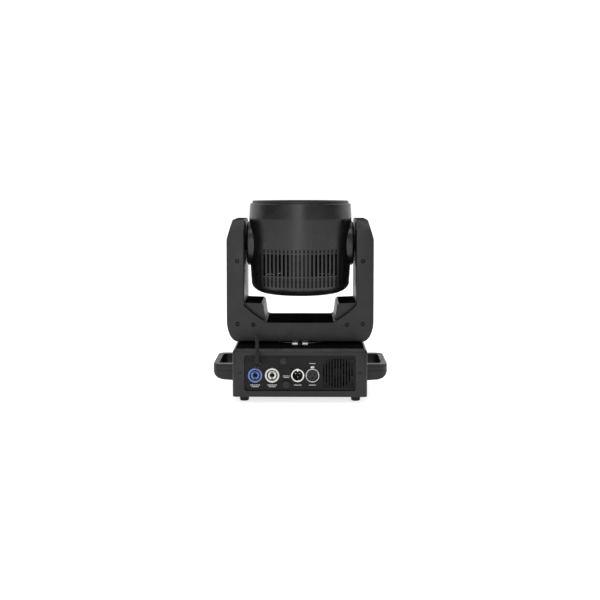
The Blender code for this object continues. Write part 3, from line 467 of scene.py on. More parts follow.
def curve(start, pull, stop, steps=14):
    """A quadratic curve between two points."""
    out = []
    for k in range(steps + 1):
        t = k / steps
        out.append(tuple(a * (1 - t) ** 2 + b * 2 * t * (1 - t) + c * t ** 2 for a, b, c in zip(start, pull, stop)))
    return out


def edge_profile(low, high, radius, steps=4, both=False):
    """Rings for loft and swept: straight sides with a rounded top edge, and a rounded bottom edge on request."""
    top = [(radius * (1 - math.cos(math.radians(90 * k / steps))),
            high - radius * (1 - math.sin(math.radians(90 * k / steps)))) for k in range(steps + 1)]
    if not both:
        return [(0, low)] + top
    return [(inset, low + high - h) for inset, h in reversed(top)] + top


# ---- sizes read from the frame

BASE_LOW, BASE_HIGH = ends("base_housing")
PANEL_LOW, PANEL_HIGH = ends("rear_panel")
YOKE_LOW, YOKE_HIGH = ends("yoke_front_cover")
PANEL_Y = -PANEL_LOW.y
TILT_Z = middle("tilt_shaft_right").z
TILT_AT = (0, 0, TILT_Z)
COLLAR_LOW, COLLAR_HIGH = ends("pan_collar")
WALL = 3.0
CHAMFER = 5.0  # of the base's top edge
WINDOW_MARGIN = 4.0  # of the panel, behind the base's window
WINDOW_X, WINDOW_Z = PANEL_HIGH.x - WINDOW_MARGIN, (PANEL_HIGH.z - PANEL_LOW.z) / 2 - WINDOW_MARGIN
WINDOW_MID = (PANEL_HIGH.z + PANEL_LOW.z) / 2
SOCKET_AT = {name: middle(name) for name in ("power_inlet", "power_outlet", "data_inlet", "data_outlet")}
SOCKET_Z = SOCKET_AT["power_inlet"].z
FUSE_AT, PORT_AT, ANTENNA_AT = middle("fuse_holder"), middle("service_cap"), middle("antenna_socket")
FAN_AT = middle("base_fan_frame")


# ---- base


def base_shell():
    """The folded box with its chamfered top edge, the window for the panel, and the screws round it."""
    low, top = BASE_LOW.z, BASE_HIGH.z
    side = [(0.9, low), (0.25, low + 0.25), (0, low + 0.9), (0, top - CHAMFER - 0.9), (0.2, top - CHAMFER - 0.2),
            (0.8, top - CHAMFER + 0.6), (CHAMFER - 0.8, top - 0.8), (CHAMFER - 0.1, top - 0.15), (CHAMFER + 0.9, top)]
    shell = piece("base_shell", swept(BASE_HIGH.x, BASE_HIGH.y, 6.0, side, steps=10), "paint")
    inside = swept(BASE_HIGH.x - WALL, BASE_HIGH.y - WALL, 3.5,
                   [(0, low - 5), (0, top - WALL - 3), (3, top - WALL)])
    carve(shell, inside)
    window = prism(rectangle(WINDOW_X, WINDOW_Z, 5.0, 8, (0, WINDOW_MID)), PANEL_Y - 12, PANEL_Y + 9, "-Y")
    carve(shell, window)
    carve(shell, rod(16.5, top - 12, top + 5, 64))
    soften(shell, 0.6, 50.0)
    settle(shell, "base", "black_paint", "base_housing")
    face_x, face_z, panel_x = 105.5, 53.0, 91.5
    for side in (-1, 1):
        screw(f"rear_face_screw_{named(side)}", (side * face_x, BASE_LOW.y + 0.2, face_z), "-Y", 2.9, "base",
              proud=1.0, turn=8)
        for k, z in enumerate((45.0, 75.0)):
            screw(f"panel_screw_{named(side)}_{k}", (side * panel_x, -PANEL_Y, z), "-Y", 2.2, "base",
                  proud=0.9, turn=31 * side + 40 * k)


def grille_outlines():
    """Upright slots in a square with one well-rounded upper corner."""
    pitch, count, corner, half_slot = 5.0, 11, 14.0, 1.3
    above, below = 9.3, 9.2  # from the slots' ends to the panel's
    left, out = FAN_AT.x - (count - 1) / 2 * pitch, []
    for i in range(count):
        x = left + i * pitch
        short = max(0.0, corner - (x - left) - 1.0)
        top = PANEL_HIGH.z - above - (corner - math.sqrt(corner ** 2 - short ** 2))
        low = PANEL_LOW.z + below
        out.append(rectangle(half_slot, (top - low) / 2, 1.0, 5, (x, (top + low) / 2)))
    return out


def connector_panel():
    outline = rectangle(PANEL_HIGH.x, WINDOW_Z + WINDOW_MARGIN, 6.0, 8, (0, WINDOW_MID))
    panel = piece("connector_panel", prism(outline, PANEL_Y - 2, PANEL_Y, "-Y"), "panel")
    holes = [(SOCKET_AT["power_inlet"], 11.9), (SOCKET_AT["power_outlet"], 11.9), (SOCKET_AT["data_inlet"], 11.3),
             (SOCKET_AT["data_outlet"], 11.9), (FUSE_AT, 6.4), (PORT_AT, 5.3), (ANTENNA_AT, 3.5)]
    tools = [rod(r, -8, 8, 64, "-Y", (at.x, -PANEL_Y, at.z)) for at, r in holes]
    latch = middle("data_latch")
    tools.append(block((latch.x - 3.9, -PANEL_Y - 5, latch.z - 1.9), (latch.x + 3.9, -PANEL_Y + 9, latch.z + 1.9)))
    carve(panel, together(*tools))
    carve(panel, together(*[prism(slot, PANEL_Y - 9, PANEL_Y + 5, "-Y") for slot in grille_outlines()]))
    settle(panel, "base", "black_steel", "rear_panel")


def panel_marks():
    """Plain bars in place of words: two lines under each power socket and over the fuse, and one line at each data
    socket and over the data outlet."""
    socket_line, line_step, second_width = 31.6, 2.9, 0.72
    bars = []
    for name, half, lines in (("power_inlet", 8.6, 2), ("power_outlet", 8.6, 2), ("data_inlet", 6.5, 1),
                              ("data_outlet", 6.5, 1)):
        x = SOCKET_AT[name].x
        for line in range(lines):
            wide = half * (1.0, second_width)[line]
            for k in range(-3, 4):
                centre = (x + k * wide * 2 / 7, socket_line - line * line_step)
                bars.append(rectangle(wide / 9.5, 0.62, 0.2, 2, centre))
    for x, z, half, tall, step in ((FUSE_AT.x, 47.6, 0.9, 0.55, 2.5), (FUSE_AT.x, 45.0, 0.7, 0.55, 2.0),
                                   (SOCKET_AT["data_outlet"].x, 69.8, 0.75, 0.5, 2.2)):
        bars += [rectangle(half, tall, 0.2, 2, (x + k * step, z)) for k in range(-2, 3)]
    marks = together(*[prism(bar, PANEL_Y - 0.05, PANEL_Y + 0.12, "-Y") for bar in bars])
    settle(piece("panel_marks", marks, "print"), "base", "white_plastic")


def power_socket(name, ring, deep, slot):
    """A round rim, a ring-shaped gap and a hollow core with its key notch."""
    at = Vector((SOCKET_AT[name].x, -PANEL_Y, SOCKET_Z))
    rim = [(9.9, -8.5), (9.6, 2.4), (9.9, 3.0), (12.1, 3.0), (12.7, 2.4), (12.7, 0.3), (11.4, 0.3), (11.4, -8.5)]
    shell = piece(f"{name}_rim", lathe(rounded(rim, 0.3, 3), 96, "-Y", at), ring)
    settle(shell, "base", slot, name)
    # The well in the ring-shaped gap takes the darker deep colour: painted shade in the gap.
    well = [(9.85, -2.0), (11.3, -2.0), (11.3, -20), (0, -20), (0, -9), (9.85, -9)]
    settle(piece(f"{name}_well", lathe(well, 80, "-Y", at), deep), "base", slot)
    tube = [(4.3, -6.5), (4.3, 1.6), (4.6, 2.0), (7.1, 2.0), (7.4, 1.6), (7.4, -9.3), (4.3, -9.3)]
    inner = piece(f"{name}_core", lathe(rounded(tube, 0.2, 3), 80, "-Y", at), ring)
    carve(inner, together(prism(rectangle(1.5, 2.4, centre=(0, -5.2)), -5, 5, "-Y", at),
                          prism(rectangle(3.0, 0.6, centre=(0, 5.4)), -5, 5.01, "-Y", at)))
    settle(inner, "base", slot)
    floor = rod(4.35, -4.5, -9.2, 48, "-Y", at)
    settle(piece(f"{name}_core_floor", floor, "dark"), "base", "black_plastic")
    # The lugs take the same darker colour: painted shade in the gap.
    span = 26  # degrees of each lug
    lugs = [prism(arc((0, 0), (9.9, 9.9), a, a + span, 6) + arc((0, 0), (8.6, 8.6), a + span, a, 6), -9.2, 0.4, "-Y",
                  at) for a in (20, 140, 262)]
    settle(piece(f"{name}_lugs", together(*lugs), deep), "base", slot)


def pin_places(at):
    """Where the three pins or holes of a data socket stand."""
    radius = 4.2
    return [at + Vector((radius * math.cos(a), 0, radius * math.sin(a))) for a in map(math.radians, (30, 150, 270))]


def data_sockets():
    """The inlet with three pins, the outlet with three contacts and its latch, and their flange screws."""
    at = Vector((SOCKET_AT["data_inlet"].x, -PANEL_Y, SOCKET_Z))
    ring = [(9.0, -13), (9.0, 2.5), (9.3, 3.0), (11.2, 3.0), (11.75, 2.4), (11.75, 0.3), (11.0, 0.3), (11.0, -20),
            (0, -20), (0, -13)]
    settle(piece("data_inlet_shell", turned(ring, 0.3, 3, 96, "-Y", at), "nickel"), "base", "steel", "data_inlet")
    floor = turned([(0, -11.5), (8.9, -11.5), (8.9, -13.2), (0, -13.2)], 0.2, 2, 64, "-Y", at)
    settle(piece("data_inlet_insert", floor, "dark"), "base", "black_plastic")
    pins = [lathe([(0, -3), (0.7, -3.1), (1.1, -3.7), (1.1, -12), (0, -12)], 20, "-Y", pin, False)
            for pin in pin_places(at)]
    settle(piece("data_inlet_pins", together(*pins), "steel"), "base", "steel")
    key = prism(rectangle(1.2, 1.4, 0.3, 3, (0, 8.0)), -12, 0.5, "-Y", at)
    settle(piece("data_inlet_key", key, "nickel"), "base", "steel")

    at = Vector((SOCKET_AT["data_outlet"].x, -PANEL_Y, SOCKET_Z))
    ring = [(10.4, -5), (10.4, 2.6), (10.7, 3.0), (11.8, 3.0), (12.2, 2.5), (12.2, 0.3), (11.5, 0.3), (11.5, -20),
            (0, -20), (0, -5)]
    settle(piece("data_outlet_shell", turned(ring, 0.3, 3, 96, "-Y", at), "steel"), "base", "steel", "data_outlet")
    plug = turned([(0, 0.6), (9.2, 0.6), (9.2, -5.2), (0, -5.2)], 0.4, 3, 80, "-Y", at)
    insert = piece("data_outlet_insert", plug, "plastic")
    carve(insert, together(*[rod(1.6, -4, 3, 24, "-Y", pin) for pin in pin_places(at)]))
    settle(insert, "base", "black_plastic")
    sleeve = rounded([(1.25, -4), (1.25, 0.7), (1.75, 0.7), (1.75, 0.3), (1.6, 0.3), (1.6, -4)], 0.1, 2)
    sleeves = together(*[lathe(sleeve, 24, "-Y", pin) for pin in pin_places(at)])
    settle(piece("data_outlet_contacts", sleeves, "screw"), "base", "steel")
    low, high = ends("data_latch")
    tab = swept((high.x - low.x) / 2, (high.z - low.z) / 2, 1.2, edge_profile(0, high.y - low.y, 0.7),
                "-Y", ((low.x + high.x) / 2, high.y, (low.z + high.z) / 2))
    settle(piece("data_latch_tab", tab, "steel"), "data_latch", "steel", "data_latch")
    out = 10.9
    for name in ("data_inlet", "data_outlet"):
        for k, (dx, dz) in enumerate(((-out, out), (out, -out))):
            place = (SOCKET_AT[name].x + dx, -PANEL_Y, SOCKET_Z + dz)
            screw(f"{name}_flange_screw_{k}", place, "-Y", 1.9, "base", proud=0.8, turn=15 + 50 * k)


def fuse_and_cap():
    at = Vector((FUSE_AT.x, -PANEL_Y, FUSE_AT.z))
    holder = [(5.3, -14), (5.3, 1.8), (7.5, 1.8), (7.5, 0.3), (6.0, 0.3), (6.0, -16), (0, -16), (0, -14)]
    settle(piece("fuse_holder_rim", turned(holder, 0.3, 3, 64, "-Y", at), "dark"), "base", "black_plastic",
           "fuse_holder")
    knob = [(0, 4.4), (6.0, 4.4), (6.4, 4.0), (6.4, 2.1), (5.0, 2.1), (5.0, -12), (0, -12)]
    cap = piece("fuse_cap_knob", turned(knob, 0.3, 3, 64, "-Y", at), "plastic")
    ribs = [prism(rectangle(0.35, 0.5, centre=(6.5, 0)), 2.6, 4.6, "-Y", at, a) for a in range(0, 360, 15)]
    carve(cap, together(prism(rectangle(4.6, 0.7), 3.2, 6, "-Y", at), *ribs))
    settle(cap, "fuse_cap", "black_plastic", "fuse_cap")
    at = Vector((PORT_AT.x, -PANEL_Y, PORT_AT.z))
    dome = [(0, 2.4), (6.5, 2.4), (6.5, 0.3), (5.0, 0.3), (5.0, -6), (0, -6)]
    hexagon = [(4.6 * math.cos(math.radians(60 * k)), 4.6 * math.sin(math.radians(60 * k))) for k in range(6)]
    cover = together(turned(dome, 0.5, 3, 64, "-Y", at), loft(hexagon, edge_profile(1.0, 4.6, 0.5), "-Y", at))
    settle(piece("service_cap_body", cover, "plastic"), "base", "black_plastic", "service_cap")


def antenna():
    socket = Vector((ANTENNA_AT.x, -PANEL_Y, ANTENNA_AT.z))
    nut = [(0, 3.9), (3.0, 3.9), (3.0, 3.2), (4.8, 3.2), (4.8, 0.3), (3.2, 0.3), (3.2, -6), (0, -6)]
    settle(piece("antenna_nut", turned(nut, 0.25, 3, 6, "-Y", socket), "brass"), "base", "brass", "antenna_socket")
    dress("antenna_elbow", "plastic", 0.5)
    low, high = ends("antenna_whip")
    x, y, top = (low.x + high.x) / 2, (low.y + high.y) / 2, high.z
    pivot = socket.z
    taper = [(0, top), (1.5, top), (2.6, top - 0.5), (3.1, top - 1.4), (3.2, pivot + 26), (3.8, pivot + 18),
             (3.8, pivot + 4.4), (0, pivot + 4.4)]
    tongue = 1.2  # half the thickness of the flat end that folds in the elbow
    whip = together(turned(taper, 0.6, 4, 48, "Z", (x, y, 0)),
                    block((x - tongue, y - 2.4, pivot), (x + tongue, y + 2.4, pivot + 6)),
                    rod(3.4, -tongue, tongue, 40, "X", (x, y, pivot)))
    settle(piece("antenna_rod", whip, "rubber"), "antenna_whip", "rubber", "antenna_whip")


def fan(name, body, half, deep, hub, axis, at, blade_deep):
    """A square frame with a round duct and struts, and a rotor with seven swept blades."""
    shell = piece(f"{name}_housing", swept(half, half, 3.0, edge_profile(0, deep, 0.6, both=True), axis, at), "dark")
    duct = half - 2.2
    carve(shell, rod(duct, -5, deep + 5, 72, axis, at))
    bars = [prism(rectangle(half - 1.2, 1.6), deep - 3.0, deep - 0.9, axis, at, turn) for turn in (0, 90)]
    centre = turned([(0, deep - 0.2), (hub, deep - 0.2), (hub, deep - 3.6), (0, deep - 3.6)], 0.5, 3, 48, axis, at)
    struts = piece(f"{name}_struts", together(centre, *bars), "dark")
    settle(shell, body, "black_plastic", f"{name}_frame")
    settle(struts, body, "black_plastic")

    low, rotor_hub, reach = 1.6, hub - 2.5, duct - 1.0
    blades, steps, half_thick = 7, 8, 0.55
    pitch, rise, sweep = 0.36, blade_deep / 2, 0.28  # the angles are in radians
    across = [(-pitch, -rise), (0.0, 0.6), (pitch, rise)]
    bm = bmesh.new()
    for k in range(blades):
        rings = []
        for j in range(steps + 1):
            r = rotor_hub - 0.5 + (reach - rotor_hub + 0.5) * j / steps
            turn = math.tau * k / blades + sweep * (j / steps) ** 1.3
            ring = []
            for side in (half_thick, -half_thick):
                for a, h in (across if side > 0 else reversed(across)):
                    angle = turn + a
                    ring.append(bm.verts.new((r * math.cos(angle), r * math.sin(angle), low + rise + h * 0.92 + side)))
            rings.append(ring)
        skinned(bm, rings)
    placed(bm, axis, at)
    top = low + blade_deep
    drum = turned([(0, low), (rotor_hub, low), (rotor_hub, top), (0, top)], 0.8, 4, 48, axis, at)
    settle(piece(f"{name}_impeller", together(bm, drum), "dark"), name, "black_plastic", f"{name}_rotor")


def handle(side):
    """A carrying handle: its front outline and its plan cut each other, then its finger gap, ribs and lines."""
    word = named(side)
    low, high = ends(f"handle_{word}")
    inner, outer = min(abs(low.x), abs(high.x)), max(abs(low.x), abs(high.x))
    top, bottom, half = high.z, low.z, high.y
    front = [(inner, bottom, 0), (140, 31, 6), (149, 33.8, 5), (155, 38.5, 5), (outer, 44.5, 4), (outer, top, 2.2),
             (inner, top, 0)]
    bow = linked("bow", to_mesh(prism(rounded(front, 2, 6), -half - 5, half + 5, "-Y")))
    corner, bar, arm, soft = 15.0, 10.5, 12, 9.0
    plan = [(inner - 2, -half)] + arc((outer - corner, -half + corner), (corner, corner), -90, 0, 14)
    plan += arc((outer - corner, half - corner), (corner, corner), 0, 90, 14) + [(inner - 2, half)]
    hole = [(inner - 4, -half + arm)] + arc((outer - bar - soft, -half + arm + soft), (soft, soft), -90, 0, 10)
    hole += arc((outer - bar - soft, half - arm - soft), (soft, soft), 0, 90, 10) + [(inner - 4, half - arm)]
    carve(bow, prism(plan, 10, 80), "INTERSECT")
    carve(bow, prism(hole, 10, 80))
    grooves = [block((outer - 0.7, y - 0.9, 44.0), (outer + 3, y + 0.9, top - 3.6)) for y in range(-36, 37, 6)]
    # The groove faces take the dark material: painted shade in the grooves.
    carve(bow, together(*grooves), look="dark")
    band = linked("band", to_mesh(prism(offset(plan, -3), 47.0, 48.0)))
    carve(band, prism(offset(plan, 0.9), 40, 60))
    lower_line = lifted(band)
    upper_line = lower_line.copy()
    upper_line.transform(Matrix.Translation((0, 0, 8.2)))
    # The two lines' faces take the dark material too: painted shade.
    carve(bow, together(lower_line, upper_line), look="dark")
    if side < 0:
        bow.data.transform(Matrix.Diagonal((-1, 1, 1, 1)))
        bow.data.flip_normals()
    bow.name = f"carrying_handle_{word}"
    bow.data.materials.clear()
    bow.data.materials.append(MATERIALS["plastic"])
    soften(bow, 0.9, 42.0)
    settle(bow, "base", "black_plastic", f"handle_{word}")


def feet():
    for end in ("front", "rear"):
        for side in ("left", "right"):
            low, high = ends(f"foot_{end}_{side}")
            r, top = (high.x - low.x) / 2, high.z
            outline = [(0, top), (r, top), (r, 6.0), (r - 0.8, 0), (3.2, 0), (2.9, 1.2), (0, 1.2)]
            pad = turned(outline, 0.6, 4, 64, "Z", ((low.x + high.x) / 2, (low.y + high.y) / 2, 0))
            settle(piece(f"rubber_foot_{end}_{side}", pad, "rubber"), "base", "rubber", f"foot_{end}_{side}")


# ---- display


def display():
    """A wedge-shaped pod; its leaning face holds a screen under glass and four keys with generic marks."""
    low, high = ends("display_pod")
    foot, brow, back = (high.y, 30.0), (112.5, 84.0), low.y
    side = [(back, low.z, 0), (foot[0], low.z, 3.0), (*foot, 1.5), (*brow, 1.5), (brow[0] - 2, high.z, 1.0),
            (back, high.z, 0)]
    half = high.x
    pod = piece("display_housing", prism(rounded(side, 1, 6), -half, half, "X"), "plastic")
    lean = math.atan2(foot[0] - brow[0], brow[1] - foot[1])
    face = (Matrix.Translation((0, (foot[0] + brow[0]) / 2, (foot[1] + brow[1]) / 2))
            @ Matrix.Rotation(lean, 4, "X") @ basis("Y").to_4x4())

    def on_face(shape):
        """Shapes drawn with X across the face (to the reader's right is -X), Y up it and Z out of it."""
        shape.transform(face)
        return shape

    # Local X points to world -X here, so the screen is at +X and the keys are at -X
    keys = [(x, v) for v in (10.0, -10.0) for x in (-26.0, -46.0)]
    screen_x = 25
    cuts = [on_face(prism(rectangle(35, 20, 1.5, 5, (screen_x, 0)), -1.5, 5))]
    cuts += [on_face(rod(4.8, -6, 5, 40, "Z", (x, v, 0))) for x, v in keys]
    carve(pod, together(*cuts))
    soften(pod, 0.7, 50.0)
    settle(pod, "base", "black_plastic", "display_pod")
    glass = swept(34.6, 19.6, 1.2, [(0, -1.2), (0, -0.35), (0.25, -0.1)], at=(screen_x, 0, 0))
    settle(piece("display_screen", on_face(glass), "screen"), "base", "glass", "display_glass")
    border = prism(rectangle(33.4, 18.4, 1.0, 4, (screen_x, 0)), -0.09, -0.03)
    strip = piece("display_frame", on_face(border), "dark")
    carve(strip, on_face(prism(rectangle(29.5, 14.5, 1.0, 4, (screen_x, 0)), -2, 2)))
    settle(strip, "base", "black_plastic")
    marks = {
        "menu": [rectangle(1.9, 0.28, centre=(0, h)) for h in (-1.2, 0, 1.2)],
        "up": [[(-1.8, -1.2), (1.8, -1.2), (0, 1.8)]],
        "enter": [rectangle(1.5, 1.5, 0.4)],
        "down": [[(-1.8, 1.2), (0, -1.8), (1.8, 1.2)]],
    }
    cap = [(0, 1.6), (3.9, 1.6), (4.5, 1.0), (4.5, -4), (0, -4)]
    for word, (x, v) in zip(("menu", "up", "enter", "down"), keys):
        button = on_face(turned(cap, 0.5, 4, 48, "Z", (x, v, 0)))
        settle(piece(f"{word}_button", button, "plastic"), f"key_{word}", "black_plastic", f"key_{word}")
        sign = together(*[on_face(prism([(x + a, v + b) for a, b in outline], 1.5, 1.63))
                          for outline in marks[word]])
        settle(piece(f"{word}_button_mark", sign, "print"), f"key_{word}", "white_plastic")


# ---- pan axis


def collar_and_lock():
    """The ring under the yoke, the two guide blocks that show as bright spots, and the bolt between them."""
    low, high = COLLAR_LOW.z, COLLAR_HIGH.z
    gap, block_end, half_deep = 3.9, 14.4, 11.0  # the guide blocks' inner and outer faces, and half their depth
    cone = [(51, high - 0.3), (56, high - 2.3), (56, low), (17, low), (17, high - 0.3)]
    ring = piece("pan_collar_ring", lathe(rounded(cone, 0.4, 3), ROUND), "aluminium")
    carve(ring, block((-gap, -81, low + 0.9), (gap, -48, high + 3)))
    settle(ring, "base", "aluminium", "pan_collar")
    for side in (-1, 1):
        guide = swept((block_end - gap) / 2, half_deep, 1.5, edge_profile(low, high, 0.8, both=True),
                      at=(side * (block_end + gap) / 2, COLLAR_LOW.y + half_deep, 0))
        settle(piece(f"pan_lock_guide_{named(side)}", guide, "polished"), "base", "aluminium")
    a, b = ends("pan_lock")
    bolt = swept((b.x - a.x) / 2, (b.y - a.y) / 2, 1.0, edge_profile(a.z, b.z, 0.6, both=True),
                 at=(0, (a.y + b.y) / 2, 0))
    slide = piece("pan_lock_bolt", bolt, "plastic")
    carve(slide, together(*[block((-5, a.y + k, b.z - 0.4), (5, a.y + k + 0.7, b.z + 1)) for k in (2, 4, 6)]))
    settle(slide, "pan_lock", "black_plastic", "pan_lock")


# ---- yoke

ARM_IN, BEAM_TOP = 100.6, 135.3
CORNER = 19.5  # radius of the two lower corners
SLOPE_LOW, SLOPE_IN = 302.0, 14.0  # where the arms' tops begin to lean in, and how far they lean


def yoke_outline(t=0.0, top=YOKE_HIGH.z):
    """The U seen from the rear, counter-clockwise; t moves it into the wall."""
    x1, low = YOKE_HIGH.x, YOKE_LOW.z
    corner = arc((x1 - CORNER, 139), (CORNER - t, 139 - low - t), -90, 0, 20)
    outer = rounded([(x1 - t, 150), (x1 - t, 285), (121.5 - t, top - t, 3.5), (ARM_IN + t, top - t, 3.5),
                     (ARM_IN + t, 175)], 22.0, 6, False)
    inner = curve((ARM_IN + t, 167 - t * 0.4), (84 + t * 0.7, 149 - t * 0.7), (58, BEAM_TOP - t))
    half = corner + outer[1:-1] + inner
    return half + [(-x, z) for x, z in reversed(half)]


def yoke_cover(word, side):
    """One clamshell half; side is -1 for the rear and 1 for the front."""
    axis = "Y" if side > 0 else "-Y"
    wall = WALL + 0.2
    flat, hollow = yoke_outline(), yoke_outline(wall, SLOPE_LOW + 2)
    if side > 0:
        flat, hollow = ([(-x, z) for x, z in reversed(outline)] for outline in (flat, hollow))
    far = YOKE_HIGH.y
    rings = [(0.35, 0.15), (0.0, 0.5)] + edge_profile(1, far, 1.8, 5)[1:]
    cover = piece(f"yoke_{word}_shell", loft(flat, rings, axis), "cover")
    carve(cover, prism(hollow, -5, far - wall, axis))
    rise, run = YOKE_HIGH.z - SLOPE_LOW, SLOPE_IN
    wedge = [(side * (far + run * 0.6), SLOPE_LOW - rise * 0.6), (side * (far + run * 0.6), SLOPE_LOW + rise * 1.6),
             (side * (far - run * 1.6), SLOPE_LOW + rise * 1.6)]
    carve(cover, prism(wedge, -150, 150, "X"))
    holes = [rod(10.6, ARM_IN - 8, ARM_IN + 8, 64, way, TILT_AT) for way in ("X", "-X")]
    holes.append(rod(17, YOKE_LOW.z - 8, YOKE_LOW.z + 8, 64))
    places = [(sx * x, z) for sx in (-1, 1) for x, z in ((112.7, 245.7), (112.7, 132.6), (84.0, 131.3))]
    if side > 0:
        places = places[1:]  # the tilt lock's window is where the first one would be
    holes += [rod(4.0, far - 2, far + 5, 40, axis, (x, 0, z)) for x, z in places]
    carve(cover, together(*holes))
    corner = [(61.9, 132.3), (62.3, 138.6), (66.0, 165.3), (69.7, 168.8), (111.5, 170.3), (111.5, 132.3)]
    near, deep = sorted((-side * 5, side * 51.8))
    gusset = prism(rounded(corner, 2.0, 5), near, deep, "Y")
    carve(cover, together(mirrored(gusset), gusset))
    if side > 0:
        carve(cover, block((-120.3, far - 8, 230), (-111.7, far + 8, 246)))
    soften(cover, 0.5, 31.0)
    settle(cover, "yoke", "black_cover", f"yoke_{word}_cover")
    for k, (x, z) in enumerate(places):
        screw(f"yoke_{word}_screw_{k}", (x, side * (far - 2), z), axis, 3.5, "yoke", proud=1.5, turn=23 * k + 9)


def tilt_lock_knob():
    low, high = ends("tilt_lock")
    x, z = (low.x + high.x) / 2, 234.7
    plate = swept(7, 9, 1.0, [(0, 0), (0, 2.5)], "Y", (x, low.y, 235))
    knob = swept(4, 4.3, 1.0, edge_profile(1.0, high.y - low.y, 0.8), "Y", (x, low.y, z))
    bar = piece("tilt_lock_slider", together(plate, knob), "steel")
    carve(bar, together(*[block((x - 6, high.y - 0.5, z + k), (x + 6, high.y + 1, z + k + 0.8))
                          for k in (-2.6, -0.4, 1.8)]))
    settle(bar, "tilt_lock", "steel", "tilt_lock")


# ---- head

SHELL = [(91.5, 73.7), (93.1, 72.1), (94.7, 46), (92.7, -39), (90.9, -64.7)]  # the barrel's (radius, height) outside
PITCH, SLOT_HALF = 7.1, 1.8


def barrel_slots(indexes, half, low, high, corner):
    """Upright rounded slots through both the rear and the front of the barrel."""
    out = []
    for i in indexes:
        outline = rectangle(half, (high - low) / 2, corner, 6, (i * PITCH, (high + low) / 2))
        for axis in ("-Y", "Y"):
            out.append(prism(outline, 20, 130, axis, TILT_AT))
    return together(*out)


def skin(profile, depth, slots):
    """Cutters that go to the same depth everywhere in a turned surface."""
    beyond = 8
    ring = [(r - depth, h) for r, h in profile] + [(r + beyond, h) for r, h in (profile[-1], profile[0])]
    tool = linked("tool_ring", to_mesh(lathe(ring, ROUND, "Z", TILT_AT)))
    carve(tool, slots, "INTERSECT")
    return lifted(tool)


def head_barrel():
    """The barrel's skin: open slots beside a closed middle, and shallow ones where the air does not pass."""
    inner = [(r - WALL, h) for r, h in reversed(SHELL[2:])]
    lip = [(90.1, 70.5), (87.6, 70.5), (87.6, 73.7)]
    outline = [(*SHELL[0], 0.5), (*SHELL[1], 1.0), (*SHELL[2], 30), (*SHELL[3], 30), (*SHELL[4], 0.5)]
    outline += [(*p, 0) for p in inner + lip]
    barrel = piece("head_barrel", lathe(rounded(outline, 0.5, 8), ROUND, "Z", TILT_AT), "barrel")
    carve(barrel, together(*[rod(41.4, 60, 120, 96, way, TILT_AT) for way in ("X", "-X")]))
    opened = [i for i in range(-9, 10) if abs(i) > 2]
    closed = [i for i in range(-11, 12) if abs(i) <= 2 or abs(i) > 9]
    # The faces of the slots and grooves take the dark material: painted shade in the recesses.
    carve(barrel, barrel_slots(opened, SLOT_HALF, -55, -15.5, 0.6), look="dark")
    surface = SHELL[2:] + [(90.5, -70)]
    for depth, indexes, half, low, high, corner in (
            (1.9, closed, SLOT_HALF * 0.9, -55, -15.5, 0.6), (1.7, range(-9, 10), 1.2, -13.6, -7.2, 0.9),
            (1.6, range(-11, 12), SLOT_HALF * 0.9, -80, -56.6, 0.6)):
        carve(barrel, skin(surface, depth, barrel_slots(indexes, half, low, high, corner)), look="dark")
    settle(barrel, "head", "black_cover", "head_shell")


def head_cap():
    """The domed bowl that closes the barrel, open in the middle for the fan's air."""
    low, high = ends("rear_cap")
    r, thick, opening, centre = 90.5, 3.0, 41.0, (56.0, -72.0)
    bottom, top = low.z - TILT_Z, high.z - TILT_Z
    wide, deep, lip = r - centre[0], centre[1] - bottom, bottom + 3.3
    outer = [(r + 0.3, top), (r, top - 3)] + arc(centre, (wide, deep), 0, -90, 28)
    outer += [(49, lip - 3.0), (opening + 4, lip - 2.1), (opening + 1, lip - 1.0), (opening, lip)]
    inner = [(opening, lip + thick)] + arc(centre, (wide - thick, deep - thick), -90, 0, 20)
    bowl = piece("head_end_cap", lathe(outer + inner + [(r + 0.3 - thick, top)], ROUND, "Z", TILT_AT), "barrel")
    surface = [(r + 0.3, top + 2), (r, top - 3), (r, -72), (r - 0.9, -77), (r - 2.4, -80.5)]
    # The grooves' faces take the dark material: painted shade.
    carve(bowl, skin(surface, 1.6, barrel_slots(range(-11, 12), SLOT_HALF * 0.9, -75, top + 4, SLOT_HALF * 0.88)),
          look="dark")
    soften(bowl, 0.25, 50.0)
    settle(bowl, "head", "black_cover", "rear_cap")


def head_bezel():
    low, high = ends("front_bezel")
    top, foot = high.z - TILT_Z, low.z - TILT_Z
    outline = [(84.5, top, 0.6), (87.5, top, 0.8), (89, top - 1.3, 0.8), (89, foot, 0.3), (87.3, foot, 0),
               (87.3, top - 8.5, 0), (82.5, top - 8.5, 0), (82.5, top - 2, 0.8)]
    settle(piece("lens_bezel", lathe(rounded(outline, 0.5, 4), ROUND, "Z", TILT_AT), "cover"),
           "head", "black_cover", "front_bezel")


def bosses():
    for side in ("left", "right"):
        low, high = ends(f"tilt_boss_{side}")
        face = max(abs(low.x), abs(high.x))
        outline = [(15.8, face, 0.5), (15.8, 98.3, 0.3), (37, 98.3, 1.0), (41, 95.3, 1.5), (41, 84, 0), (37, 84, 0),
                   (37, 94.5, 0), (10.4, 94.5, 0), (10.4, face, 0.3)]
        disc = lathe(rounded(outline, 0.5, 4), 96, {"right": "X", "left": "-X"}[side], TILT_AT)
        settle(piece(f"tilt_cover_{side}", disc, "barrel"), "head", "black_cover", f"tilt_boss_{side}")


def lens_places():
    """Nineteen places in a hexagon."""
    pitch = 32.0
    return [((i - (4 - abs(row)) / 2) * pitch, row * pitch / 2 * math.sqrt(3)) for row in range(-2, 3)
            for i in range(5 - abs(row))]


